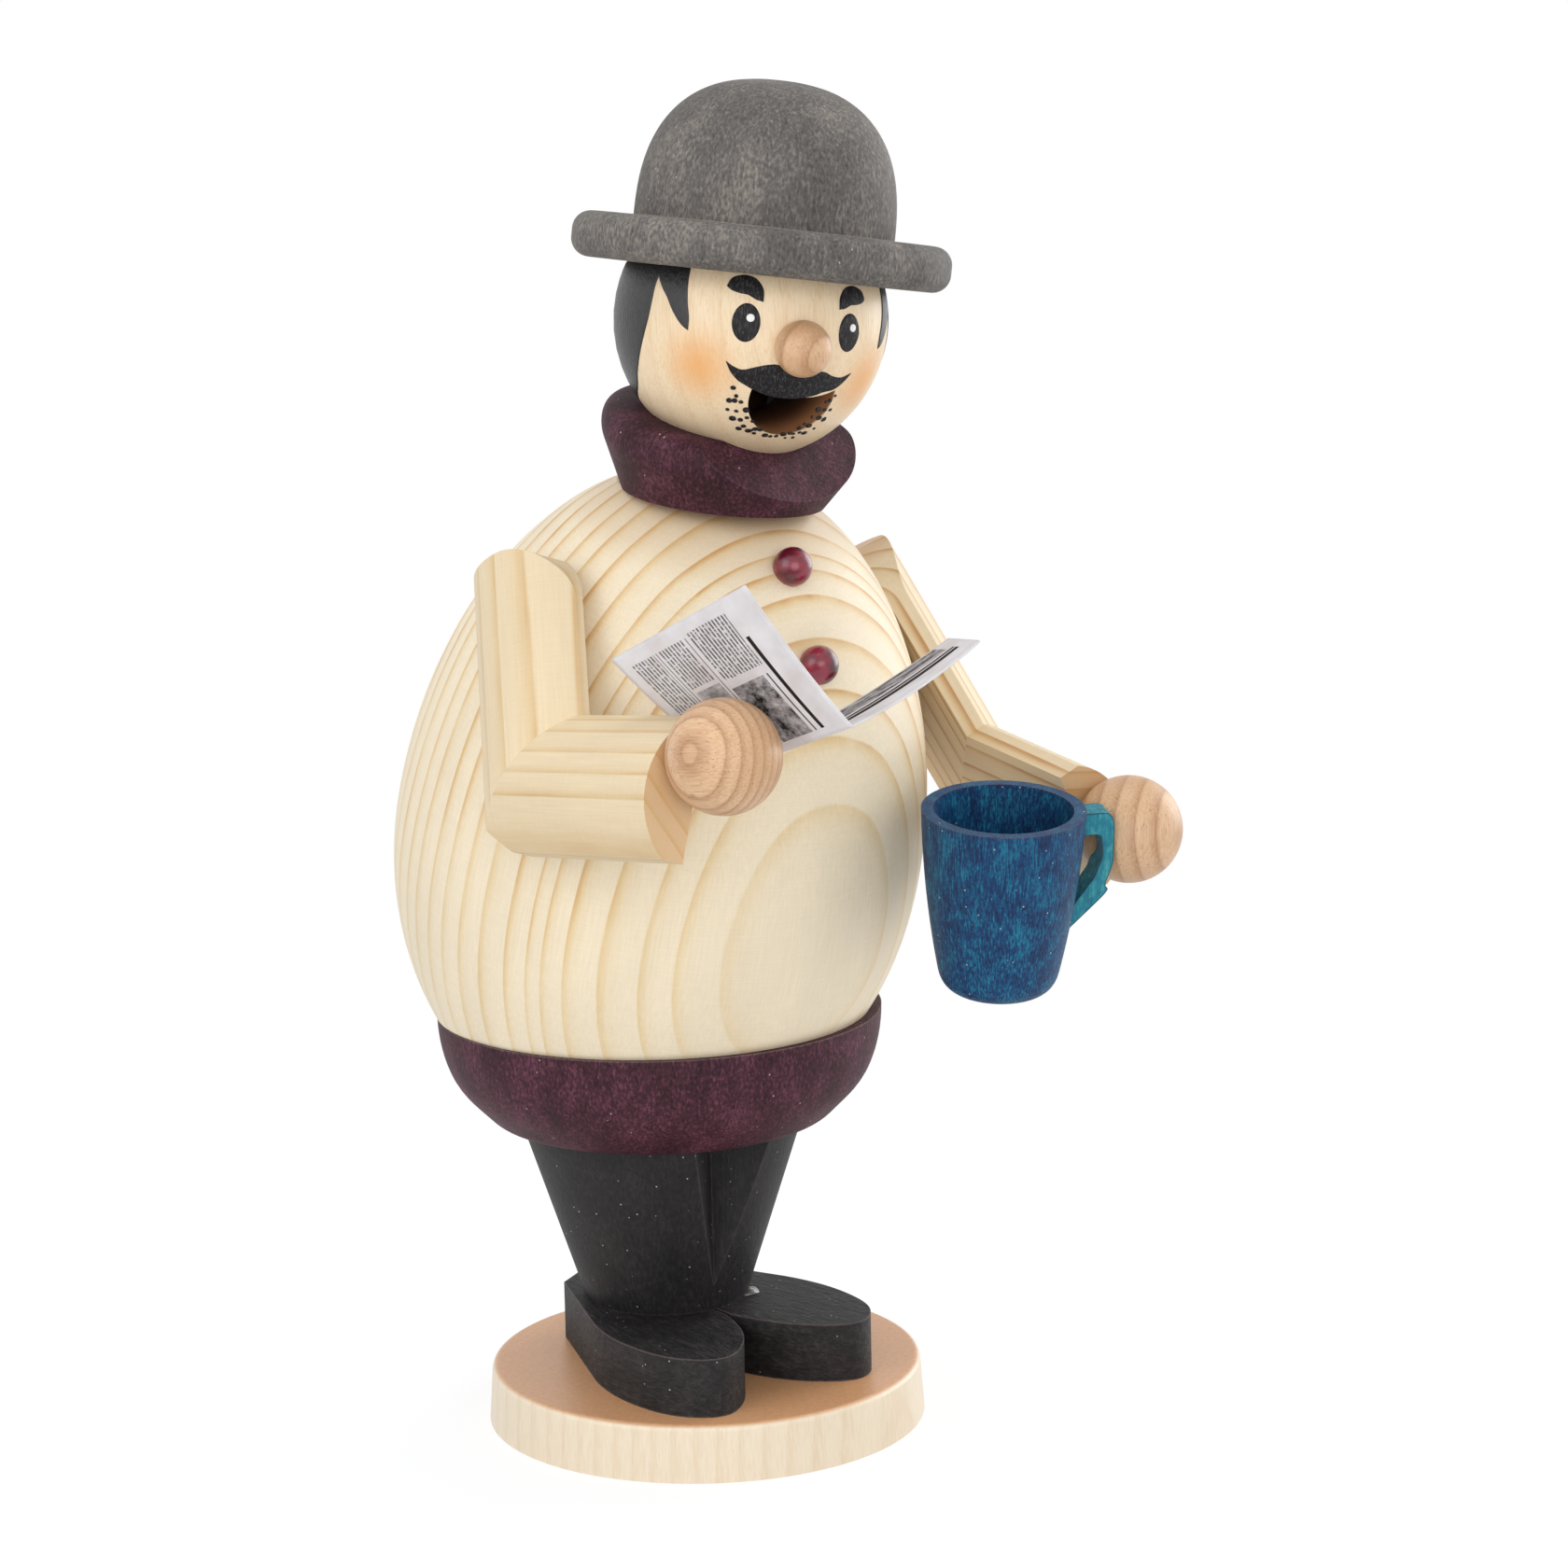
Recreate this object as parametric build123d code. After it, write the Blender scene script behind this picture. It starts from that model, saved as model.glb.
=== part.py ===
"""Incense smoker: a turned wooden reader with a hollow egg for a body, a mug and a newspaper.

Millimetres and degrees. The origin is the centre of the base disc's underside, +Z is up,
the figure faces -Y and its right hand is at -X. The hollow body stands on the spigot of the
waist bowl and lifts off, so that an incense cone can be lit on the metal plate inside.
"""
import os
from math import cos, radians, sin, sqrt, tan

from build123d import *

# One overrun for every cut that leaves a solid, and the points of a turned curve
overrun = 2.0
curve_steps = 12

# Base disc
base_radius = 26.5
base_taper = 0.5
base_height = 6.8
base_rounding = 0.8

# Turning axis of the trousers and the waist bowl on the disc
figure_x = -1.6
figure_y = 5.7

# Shoes: two boards, soles side by side
shoe_height = 7.1
shoe_length = 38.4
shoe_width = 15.7
shoe_gap = 0.6
toe_reach = 25.1
shoe_line_shares = [(0.0, 1.0), (0.22, 1.0), (0.47, 0.94), (0.90, 0.52)]
shoe_toe_shares = [(0.99, 0.36), (0.985, 0.21), (0.87, 0.07), (0.62, 0.0), (0.37, 0.05), (0.14, 0.17),
                   (0.0, 0.33)]

# Dowels that pin each shoe between the disc and the trousers
shoe_dowel_radius = 1.5
shoe_dowel_depth = 4.0
shoe_dowel_offset = 4.6

# Trousers: a turned cone with a sawn groove between the legs
ankle_radius = 9.9
waist_radius = 17.2
trouser_height = 22.5
groove_floor = 11.0
groove_half_angle = 45.0
groove_turn = 5.0
tenon_radius = 6.0
tenon_length = 4.5

# Waist bowl with its spigot, fire recess and air holes
bowl_radius = 26.8
bowl_height = 13.4
bowl_underside_radius = 17.4
bowl_profile_shares = [(0.975, 0.63), (0.908, 0.34), (0.81, 0.13)]
spigot_radius = 19.0
spigot_wall = 3.0
spigot_height = 4.5
recess_depth = 5.0
air_hole_radius = 1.7
air_hole_turns = [-28.0, 28.0]
air_hole_drop = 3.4

# Metal plate for the cone and the nail that holds it
plate_radius = 12.0
plate_thickness = 0.5
plate_rim = 2.0
nail_head_radius = 1.8
nail_head_height = 0.5
nail_shank_radius = 0.6
nail_length = 3.5

# Body: an egg that leans forward, cut level at the belt
egg_radius = 31.4
egg_lower_length = 38.0
egg_upper_length = 47.2
egg_fullness = 2.0
egg_lean = 18.0
egg_x = -2.1
egg_y = 4.3
egg_z = 70.6
spigot_clearance = 0.3
spigot_headroom = 0.8
chamber_radius = 17.0
chamber_straight = 28.0
flue_radius = 3.6

# Neck axis, which the collar and the head share; its foot lies just under the egg's upper end
neck_lean = 15.0
neck_side_lean = 3.0
neck_foot_depth = 2.5
neck_foot_offset = 0.25
seat_lean = 7.5

# Collar: a turned ring with a sawn facet at the front
collar_foot_radius = 10.4
collar_radius = 14.8
collar_top_radius = 12.3
collar_height = 9.4
collar_widest = 6.6
collar_skirt = 2.4
flank_width_share = 0.86
flank_rise_share = 0.72
facet_reach = 9.6
facet_rise = 7.2
facet_tilt = 38.0
facet_turn = 20.0

# Head: a ball with a flat top for the hat and a flat chin on the collar
head_radius = 15.5
head_rise = 20.9
chin_rise = 6.8
neck_tenon_radius = 6.0
neck_tenon_length = 10.0
face_turn = 16.0
nose_radius = 3.15
nose_reach = 16.6
nose_drop = 8.0
mouth_radius = 5.1
mouth_drop = 6.8
lip_radius = 11.5
mouth_turn = 4.0
mouth_depth = 15.0
mouth_rise = 12.0

# Bowler hat, cocked to the figure's left
hat_lean = 1.3
hat_side_lean = 8.0
hat_seat = 5.2
hat_shift = 0.45
crown_radius = 14.85
crown_height = 16.6
crown_fullness = 2.5
brim_radius = 21.6
brim_height = 5.2
brim_rounding = 2.1
hat_dowel_radius = 3.0
hat_dowel_half = 5.5

# Arms: half-round moulding mitred at the elbow
arm_width = 15.9
arm_thin_edge = 1.0
arm_thick_edge = 2.7
arm_thickness = 6.5
elbow_angle = 112.0
elbow_trim = 2.4
shoulder_rounding = 7.0
shoulder_dowel_radius = 2.0
shoulder_dowel_reach = 5.0
shoulder_dowel_grip = 4.0
wrist_dowel_radius = 1.2
wrist_dowel_half = 3.0
wrist_dowel_height = 2.6

# Hands: beech balls seated in the cuffs
hand_radius = 6.25

# Pose of each arm: the elbow's inner corner in from the egg's side and front and up its length,
# its turn-in, lean-out and dip, and the lengths
right_elbow_inset = 4.7
left_elbow_inset = 2.0
right_elbow_setback = 6.7
left_elbow_setback = 9.0
right_elbow_rise_share = 0.4505
left_elbow_rise_share = 0.248
right_turn = -2.3
left_turn = 8.7
right_lean = 18.8
left_lean = 25.7
right_dip = -7.5
left_dip = 7.3
right_upper_length = 21.7
left_upper_length = 25.0
right_forearm_length = 22.0
left_forearm_length = 19.1

# Place of each hand: beyond the cuff, above its middle and out from the arm's flat
right_hand_gap = 4.3
left_hand_gap = 4.9
right_hand_lift = 3.7
left_hand_lift = 0.0
right_hand_out = 0.2
left_hand_out = 3.5

# Buttons: half beads on pegs down the front
button_radius = 2.25
button_seat_depth = 0.15
button_lift = 0.9
button_peg_radius = 0.8
button_peg_length = 2.5
button_rise_shares = [0.703, 0.883]
button_turn = 1.3

# Newspaper: one folded sheet, open like a book, by its pages' corners from the right hand's middle
paper_thickness = 0.4
spine_rear = (8.0, 9.2, -3.7)
spine_front = (8.9, -10.6, 3.5)
right_page_rear = (-2.7, 16.2, 8.8)
right_page_front = (-0.6, -5.1, 18.8)
left_page_rear = (32.1, 1.4, 8.8)
left_page_front = (25.9, -11.2, 10.7)
right_page_curl = 0.4
left_page_curl = 1.6

# Mug: turned and hollow, tipped forward a little, its rim's middle placed from the left hand's middle
mug_radius = 9.4
mug_base_radius = 6.7
mug_height = 22.0
mug_base_rounding = 2.6
mug_bulge = 0.4
mug_wall = 1.4
mug_floor = 3.0
mug_lean = 8.5
mug_side_lean = -4.2
mug_place = (-17.25, 2.0, 4.45)

# Mug handle: a flat loop, turned forward from the figure's left. Its outline and its hole start
# inside the mug and are given by shares of its reach beyond the mug's foot and of its length
handle_turn = 24.0
handle_top_drop = 0.8
handle_length = 13.2
handle_reach = 3.4
handle_thickness = 3.2
handle_outline_shares = [(0.0, 0.0), (0.78, 0.0), (0.98, 0.08), (1.0, 0.3), (0.98, 0.5), (0.87, 0.68),
                         (0.67, 0.84), (0.0, 1.13)]
handle_hole_shares = [(0.0, 0.2), (0.65, 0.2), (0.76, 0.27), (0.78, 0.4), (0.69, 0.53), (0.45, 0.71),
                      (0.0, 0.99)]

# Places worked out from the sizes above
shoe_top = base_height + shoe_height
bowl_base = shoe_top + trouser_height
belt_z = bowl_base + bowl_height
egg_centre = Vector(egg_x, egg_y, egg_z)


def leaning_axis(forward, side):
    """Unit vector that leans forward and towards +X by the two angles."""
    return Vector(tan(radians(side)), -tan(radians(forward)), 1).normalized()


def upright_plane(origin, axis, turn=0.0):
    """Plane on an axis whose local -Y looks to the figure's front, turned to its right."""
    front = Vector(-sin(radians(turn)), -cos(radians(turn)), 0)
    side = axis.cross(front * -1).normalized() * -1
    return Plane(origin=origin, x_dir=side, z_dir=axis)


egg_axis = leaning_axis(egg_lean, 0)
egg_plane = upright_plane(egg_centre, egg_axis)
neck_foot = egg_plane.from_local_coords(Vector(0, neck_foot_offset, egg_upper_length - neck_foot_depth))
neck_axis = leaning_axis(neck_lean, neck_side_lean)
hat_axis = leaning_axis(hat_lean, hat_side_lean)
head_centre = neck_foot + neck_axis * head_rise
neck_plane = upright_plane(neck_foot, neck_axis)
seat_plane = upright_plane(neck_foot, leaning_axis(seat_lean, neck_side_lean))
head_plane = upright_plane(head_centre, hat_axis, face_turn)


def rod(radius, start, end):
    """Solid cylinder from one point to another."""
    return Plane(origin=start, z_dir=end - start) * Cylinder(
        radius, (end - start).length, align=(Align.CENTER, Align.CENTER, Align.MIN)
    )


def standing(radius, height, z):
    """Solid cylinder that stands at a height on the figure's turning axis."""
    return Pos(figure_x, figure_y, z) * Cylinder(
        radius, height, align=(Align.CENTER, Align.CENTER, Align.MIN)
    )


def half_space(plane, size):
    """Block that fills the positive side of a plane, to cut with."""
    return plane * Box(size, size, size, align=(Align.CENTER, Align.CENTER, Align.MIN))


def make_base_disc():
    """Tapered disc with a rounded top edge and holes for the shoe dowels."""
    disc = Cone(base_radius, base_radius - base_taper, base_height,
                align=(Align.CENTER, Align.CENTER, Align.MIN))
    disc = fillet(disc.edges().sort_by(Axis.Z)[-1], base_rounding)
    for side in (-1, 1):
        disc -= make_shoe_dowel(side)
    return disc


def make_shoe_dowel(side):
    """Dowel through one shoe, from the disc into the trousers."""
    foot = Vector(figure_x + side * shoe_dowel_offset, figure_y, base_height - shoe_dowel_depth)
    length = shoe_height + 2 * shoe_dowel_depth
    return rod(shoe_dowel_radius, foot, foot + Vector(0, 0, length))


def make_shoe(side):
    """Board with a straight inner edge, a flat outer heel and a round toe."""
    toe_y = figure_y - toe_reach

    def place(shares):
        across, along = shares
        return (figure_x + side * (shoe_gap / 2 + across * shoe_width), toe_y + along * shoe_length)

    heel = [place(p) for p in shoe_line_shares]
    toe = [place(p) for p in shoe_toe_shares]
    outline = Polyline(*heel) + Spline(heel[-1], *toe) + Line(toe[-1], heel[0])
    board = extrude(make_face(outline), amount=shoe_height)
    return Pos(0, 0, base_height) * board - make_shoe_dowel(side)


def make_trousers():
    """Cone that widens to the waist, with a groove that runs out down the front and a tenon on top."""
    cone = Pos(figure_x, figure_y, shoe_top) * Cone(
        ankle_radius, waist_radius, trouser_height, align=(Align.CENTER, Align.CENTER, Align.MIN)
    )
    reach = waist_radius + overrun
    spread = (reach - groove_floor) * tan(radians(groove_half_angle))
    wedge = make_face(Polyline((0, -groove_floor), (-spread, -reach), (spread, -reach), close=True))
    groove = Rot(0, 0, -groove_turn) * extrude(wedge, amount=trouser_height + 2 * overrun)
    trousers = cone - Pos(figure_x, figure_y, shoe_top - overrun) * groove
    trousers += standing(tenon_radius, tenon_length, bowl_base)
    for side in (-1, 1):
        trousers -= make_shoe_dowel(side)
    return trousers


def make_waist_bowl():
    """Bowl with a turned outside, a spigot for the body, a fire recess and two air holes."""
    rim = (bowl_radius, bowl_height)
    foot = (bowl_underside_radius, 0)
    bulge = [(bowl_radius * across, bowl_height * up) for across, up in bowl_profile_shares]
    side = Spline(rim, *bulge, foot, tangents=((0, -1), (-1, 0)))
    top = Polyline(rim, (spigot_radius, bowl_height), (spigot_radius, bowl_height + spigot_height),
                   (0, bowl_height + spigot_height), (0, 0), foot)
    bowl = revolve(Plane.XZ * make_face(side + top), Axis.Z)
    bowl = Pos(figure_x, figure_y, bowl_base) * bowl
    recess_floor = belt_z - recess_depth
    bowl -= standing(spigot_radius - spigot_wall, recess_depth + spigot_height + overrun, recess_floor)
    bowl -= standing(tenon_radius, tenon_length, bowl_base)
    hole_z = belt_z - air_hole_drop
    centre = Vector(figure_x, figure_y, hole_z)
    for turn in air_hole_turns:
        outward = Vector(sin(radians(turn)), cos(radians(turn)), 0)
        bowl -= rod(air_hole_radius, centre + outward * (spigot_radius - spigot_wall - overrun),
                    centre + outward * (bowl_radius + overrun))
    return bowl - make_plate_nail()


def make_ember_plate():
    """Shallow metal dish on the floor of the recess."""
    floor = belt_z - recess_depth
    dish = standing(plate_radius, plate_rim, floor)
    dish -= standing(plate_radius - plate_thickness, plate_rim, floor + plate_thickness)
    return dish - make_plate_nail()


def make_plate_nail():
    """Round-headed nail through the middle of the dish."""
    top = belt_z - recess_depth + plate_thickness
    shank = standing(nail_shank_radius, nail_length, top - nail_length)
    return standing(nail_head_radius, nail_head_height, top) + shank


def quarter_curve(radius, length, fullness, foot):
    """Points of r = R (1 - (h / L)^n)^(1/n) from the widest place to the pole, h counted from a foot."""
    points = []
    for step in range(curve_steps + 1):
        rise = sin(radians(90 * step / curve_steps))
        points.append((radius * (1 - rise ** fullness) ** (1 / fullness), foot + length * rise))
    return points


def make_egg():
    """Solid of revolution of two quarter ellipses on the leaning axis."""
    lower = quarter_curve(egg_radius, -egg_lower_length, egg_fullness, 0)
    upper = quarter_curve(egg_radius, egg_upper_length, egg_fullness, 0)
    curve = lower[:0:-1] + upper
    side = Spline(*curve, tangents=((1, 0), (-1, 0)))
    egg = revolve(Plane.XZ * make_face(side + Line(curve[-1], curve[0])), Axis.Z)
    return egg_plane * egg


def make_chamber():
    """Space that is bored up from the belt, with the seat for the spigot and the flue to the neck."""
    seat_height = spigot_height + spigot_headroom + overrun
    seat = standing(spigot_radius + spigot_clearance, seat_height, belt_z - overrun)
    bore = standing(chamber_radius, chamber_straight + overrun, belt_z - overrun)
    dome_z = belt_z + chamber_straight
    dome = Pos(figure_x, figure_y, dome_z) * Sphere(chamber_radius)
    flue_end = neck_foot + neck_axis * overrun
    flue_start = neck_foot + neck_axis * ((dome_z - neck_foot.Z) / neck_axis.Z + chamber_radius / 2)
    return seat + bore + dome + rod(flue_radius, flue_start, flue_end)


def make_body_shell():
    """Hollow egg with a seat for each arm, a flat for the collar and seats for the buttons."""
    size = 2 * (egg_upper_length + egg_radius)
    body = make_egg()
    body -= half_space(Plane(origin=(egg_x, egg_y, belt_z), z_dir=(0, 0, -1)), size)
    body -= half_space(seat_plane, size)
    body -= make_chamber()
    for side in (-1, 1):
        body -= make_upper_arm(side)
        body -= make_forearm(side)
        body -= make_shoulder_dowel(side)
    body -= neck_rod(neck_tenon_radius, chin_rise - neck_tenon_length, chin_rise)
    for share in button_rise_shares:
        body -= make_button(share)
    return body


def neck_rod(radius, start, end):
    """Cylinder on the neck axis between two heights above the collar's foot."""
    return rod(radius, neck_foot + neck_axis * start, neck_foot + neck_axis * end)


def make_collar():
    """Ring that widens from the foot, rounds over and is cut by one slanting facet in front."""
    foot = (collar_foot_radius, -collar_skirt)
    shoulder = (collar_foot_radius + (collar_radius - collar_foot_radius) * flank_width_share,
                collar_widest * flank_rise_share)
    top = (collar_top_radius, collar_height)
    flank_way = (shoulder[0] - foot[0], shoulder[1] - foot[1])
    side = Line(foot, shoulder)
    side += Spline(shoulder, (collar_radius, collar_widest), top, tangents=(flank_way, (-1, 0)))
    inside = Polyline(top, (neck_tenon_radius, collar_height), (neck_tenon_radius, -collar_skirt), foot)
    ring = neck_plane * revolve(Plane.XZ * make_face(side + inside), Axis.Z)
    ring -= half_space(Plane(origin=neck_foot, z_dir=seat_plane.z_dir * -1), 4 * collar_radius)
    return ring - make_collar_facet() - make_head_seat()


def make_collar_facet():
    """Block that saws the facet off the collar's upper front edge."""
    turned = neck_plane.rotated((0, 0, facet_turn))
    plane = turned.offset(facet_rise)
    plane.origin = plane.origin - turned.y_dir * facet_reach
    return half_space(plane.rotated((facet_tilt, 0, 0)), 2 * collar_radius)


def make_head_seat():
    """Head's ball as a cutter, so that the collar's top is dished to carry it."""
    return Pos(head_centre.X, head_centre.Y, head_centre.Z) * Sphere(head_radius)


def make_head():
    """Ball with a flat top, a flat chin with a tenon, the smoke bore and the mouth."""
    size = 4 * head_radius
    head = Pos(head_centre.X, head_centre.Y, head_centre.Z) * Sphere(head_radius)
    head -= half_space(Plane(origin=head_centre + hat_axis * hat_seat, z_dir=hat_axis), size)
    head -= half_space(Plane(origin=neck_foot + neck_axis * chin_rise, z_dir=neck_axis * -1), size)
    head += neck_rod(neck_tenon_radius, chin_rise - neck_tenon_length, chin_rise + overrun)
    flue_foot = chin_rise - neck_tenon_length - overrun
    head -= neck_rod(flue_radius, flue_foot, head_rise - mouth_drop)
    head -= make_mouth_bore()
    head -= make_hat_dowel()
    return head - make_nose()


def make_mouth_bore():
    """Bore that runs in and up from the mouth to the smoke bore, its upper half filled by the lip."""
    front = head_plane.rotated((0, 0, mouth_turn)).y_dir * -1
    rise = radians(mouth_rise)
    inward = head_plane.z_dir * sin(rise) - front * cos(rise)
    lift = head_plane.z_dir * cos(rise) + front * sin(rise)
    start = head_centre + front * (head_radius + overrun) - head_plane.z_dir * (mouth_drop + overrun)
    end = start + inward * (mouth_depth + overrun)
    lip_way = lift * lip_radius
    return rod(mouth_radius, start, end) - rod(lip_radius, start + lip_way, end + lip_way)


def make_nose():
    """Ball that is let into the face."""
    front = head_plane.y_dir * -1
    out = front * cos(radians(nose_drop)) - head_plane.z_dir * sin(radians(nose_drop))
    place = head_centre + out * nose_reach
    return Pos(place.X, place.Y, place.Z) * Sphere(nose_radius)


def make_hat_dowel():
    """Dowel between the top of the head and the hat."""
    seat = head_centre + hat_axis * hat_seat
    return rod(hat_dowel_radius, seat - hat_axis * hat_dowel_half, seat + hat_axis * hat_dowel_half)


def make_hat():
    """Brim with round edges and a domed crown, whose side is r = R (1 - h^n)^(1/n)."""
    brim = Cylinder(brim_radius, brim_height, align=(Align.CENTER, Align.CENTER, Align.MIN))
    brim = fillet(brim.edges(), brim_rounding)
    curve = quarter_curve(crown_radius, crown_height, crown_fullness, brim_height)
    side = Spline(*curve, tangents=((0, 1), (-1, 0)))
    crown = make_face(side + Polyline(curve[-1], (0, brim_height - brim_rounding),
                                      (crown_radius, brim_height - brim_rounding), curve[0]))
    hat = brim + revolve(Plane.XZ * crown, Axis.Z)
    seat = head_centre + hat_axis * hat_seat + head_plane.x_dir * hat_shift
    return upright_plane(seat, hat_axis, face_turn) * hat - make_hat_dowel()


def elbow_place(side):
    """Elbow's inner corner, which follows the egg's width and height."""
    right = side < 0
    inset = right_elbow_inset if right else left_elbow_inset
    setback = right_elbow_setback if right else left_elbow_setback
    rise_share = right_elbow_rise_share if right else left_elbow_rise_share
    rise = egg_upper_length * rise_share
    return egg_centre + Vector(side * (egg_radius - inset), setback - egg_radius, rise)


def arm_frame(side):
    """Plane at the elbow's inner corner: X to the hand, Z up the arm's edge, Y to the body's left."""
    right = side < 0
    turn = radians(right_turn if right else left_turn)
    lean = radians(right_lean if right else left_lean)
    dip = radians(right_dip if right else left_dip)
    forward = Vector(-side * sin(turn), -cos(turn), 0)
    outward = Vector(side * cos(turn), -sin(turn), 0)
    down = outward * sin(lean) - Vector(0, 0, 1) * cos(lean)
    hand_way = forward * cos(dip) + down * sin(dip)
    edge_way = down * cos(dip) - forward * sin(dip)
    return Plane(origin=elbow_place(side), x_dir=hand_way, z_dir=edge_way * -1)


def arm_lengths(side):
    """Upper arm's and forearm's length along the elbow's inner side."""
    if side < 0:
        return right_upper_length, right_forearm_length
    return left_upper_length, left_forearm_length


def moulding(side, length):
    """Half-round moulding along local +X, its flat on the XZ plane and its crown outward."""
    edges = (arm_thin_edge, arm_thick_edge)
    inner, outer = edges if side < 0 else reversed(edges)
    top = (side * inner, 0)
    bottom = (side * outer, -arm_width)
    outline = Polyline(top, (0, 0), (0, -arm_width), bottom)
    outline += ThreePointArc(bottom, (side * arm_thickness, -arm_width / 2), top)
    start = arm_width + elbow_trim
    section = Plane(origin=(-start, 0, 0), x_dir=(0, 1, 0), z_dir=(1, 0, 0)) * make_face(outline)
    return extrude(section, amount=start + length, dir=(1, 0, 0))


def elbow_mitre():
    """Plane of the elbow's joint, facing the upper arm."""
    half = radians(elbow_angle / 2)
    return Plane(origin=(0, 0, 0), z_dir=(-sin(half), 0, cos(half)))


def mitred(side, length):
    """Moulding whose near end is cut at the mitre, with the elbow's sharp tip trimmed off."""
    half = radians(elbow_angle / 2)
    tip = Vector(-cos(half), 0, -sin(half))
    trim_reach = arm_width / sin(half) - elbow_trim
    piece = moulding(side, length) - half_space(elbow_mitre(), 4 * (length + arm_width))
    return piece - half_space(Plane(origin=tip * trim_reach, z_dir=tip), 4 * arm_width)


def hand_place(side):
    """Centre of one hand ball in its arm's frame."""
    length = arm_lengths(side)[1]
    if side < 0:
        return Vector(length + right_hand_gap, -right_hand_out, right_hand_lift - arm_width / 2)
    return Vector(length + left_hand_gap, left_hand_out, left_hand_lift - arm_width / 2)


def hand_middle(side):
    """Centre of one hand ball in the figure's frame."""
    return arm_frame(side).from_local_coords(hand_place(side))


def make_forearm(side):
    """Forearm with a dished cuff and the wrist dowel's hole."""
    place = hand_place(side)
    piece = mitred(side, arm_lengths(side)[1]) - Pos(place.X, place.Y, place.Z) * Sphere(hand_radius)
    return arm_frame(side) * piece - make_wrist_dowel(side)


def make_upper_arm(side):
    """Upper arm, which mirrors the forearm at the mitre and has a round shoulder."""
    length = arm_lengths(side)[0]
    outline = Pos(-length, -arm_width / 2) * Rectangle(4 * length, arm_width)
    outline = fillet(outline.vertices().group_by(Axis.X)[-1], shoulder_rounding)
    board = extrude(Plane.XZ * outline, amount=2 * arm_thickness, both=True)
    upper = arm_frame(side) * mirror(mitred(side, length) & board, about=elbow_mitre())
    return upper - make_shoulder_dowel(side)


def make_shoulder_dowel(side):
    """Dowel from the body into the upper arm, square to the flat between them."""
    angle = radians(elbow_angle)
    along = arm_lengths(side)[0] - arm_width / 2
    up = Vector(cos(angle), 0, sin(angle))
    across = Vector(-sin(angle), 0, cos(angle))
    middle = up * along + across * (arm_width / 2)
    frame = arm_frame(side)
    inner = frame.from_local_coords(middle - Vector(0, side * shoulder_dowel_reach, 0))
    outer = frame.from_local_coords(middle + Vector(0, side * shoulder_dowel_grip, 0))
    return rod(shoulder_dowel_radius, inner, outer)


def make_wrist_dowel(side):
    """Dowel from the cuff into the hand ball."""
    place = hand_place(side)
    length = arm_lengths(side)[1]
    seat = Vector(length, side * wrist_dowel_height, place.Z)
    frame = arm_frame(side)
    start = frame.from_local_coords(seat - Vector(wrist_dowel_half, 0, 0))
    end = frame.from_local_coords(seat + Vector(wrist_dowel_half, 0, 0))
    return rod(wrist_dowel_radius, start, end)


def make_hand(side):
    """Ball that stands for a hand; the left one is notched to fit over the mug's handle."""
    place = hand_middle(side)
    ball = Pos(place.X, place.Y, place.Z) * Sphere(hand_radius)
    if side > 0:
        ball -= make_mug_handle()
    return ball - make_wrist_dowel(side)


def make_button(rise_share):
    """Bead with a flat underside and a peg, square to the egg's surface on the front line."""
    along = egg_upper_length * rise_share
    across = egg_radius * sqrt(1 - rise_share ** 2)
    front = egg_plane.rotated((0, 0, -button_turn)).y_dir * -1
    surface = egg_centre + egg_axis * along + front * across
    normal = front * (across / egg_radius ** 2) + egg_axis * (along / egg_upper_length ** 2)
    normal = normal.normalized()
    seat = surface - normal * button_seat_depth
    bead = Plane(origin=surface + normal * button_lift, z_dir=normal) * Sphere(button_radius)
    bead -= half_space(Plane(origin=seat, z_dir=normal * -1), 4 * button_radius)
    peg_end = seat - normal * button_peg_length
    return bead + rod(button_peg_radius, peg_end, seat + normal * button_seat_depth)


def paper_corner(place):
    """Corner of the sheet, measured from the middle of the right hand that holds it."""
    return hand_middle(-1) + Vector(*place)


def paper_strip(rear, front, thickness_way):
    """Thin upright section of the sheet between two points."""
    step = thickness_way * paper_thickness
    return make_face(Polyline(rear, front, front + step, rear + step, close=True))


def make_page(free_rear, free_front, curl, back_way):
    """One page from the spine to its free edge, bowed by the curl at its middle."""
    rear = paper_corner(spine_rear)
    front = paper_corner(spine_front)
    free_rear = paper_corner(free_rear)
    free_front = paper_corner(free_front)
    face_way = (free_rear - rear).cross(front - rear).normalized()
    if face_way.dot(back_way) < 0:
        face_way = face_way * -1
    bow = face_way * curl
    middle = paper_strip((rear + free_rear) * 0.5 + bow, (front + free_front) * 0.5 + bow, face_way)
    return loft([paper_strip(rear, front, back_way), middle, paper_strip(free_rear, free_front, face_way)])


def make_newspaper():
    """Sheet folded once into two pages that meet at the spine."""
    rear = paper_corner(spine_rear)
    front = paper_corner(spine_front)
    right_way = (paper_corner(right_page_rear) - rear).normalized()
    left_way = (paper_corner(left_page_rear) - rear).normalized()
    along = (front - rear).normalized()
    back_way = right_way + left_way
    back_way = (back_way - along * back_way.dot(along)).normalized() * -1
    right_page = make_page(right_page_rear, right_page_front, right_page_curl, back_way)
    left_page = make_page(left_page_rear, left_page_front, left_page_curl, back_way)
    return right_page + left_page - make_hand(-1)


def mug_plane():
    """Plane at the middle of the mug's rim, on its leaning axis."""
    return upright_plane(hand_middle(1) + Vector(*mug_place), leaning_axis(mug_lean, mug_side_lean))


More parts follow.
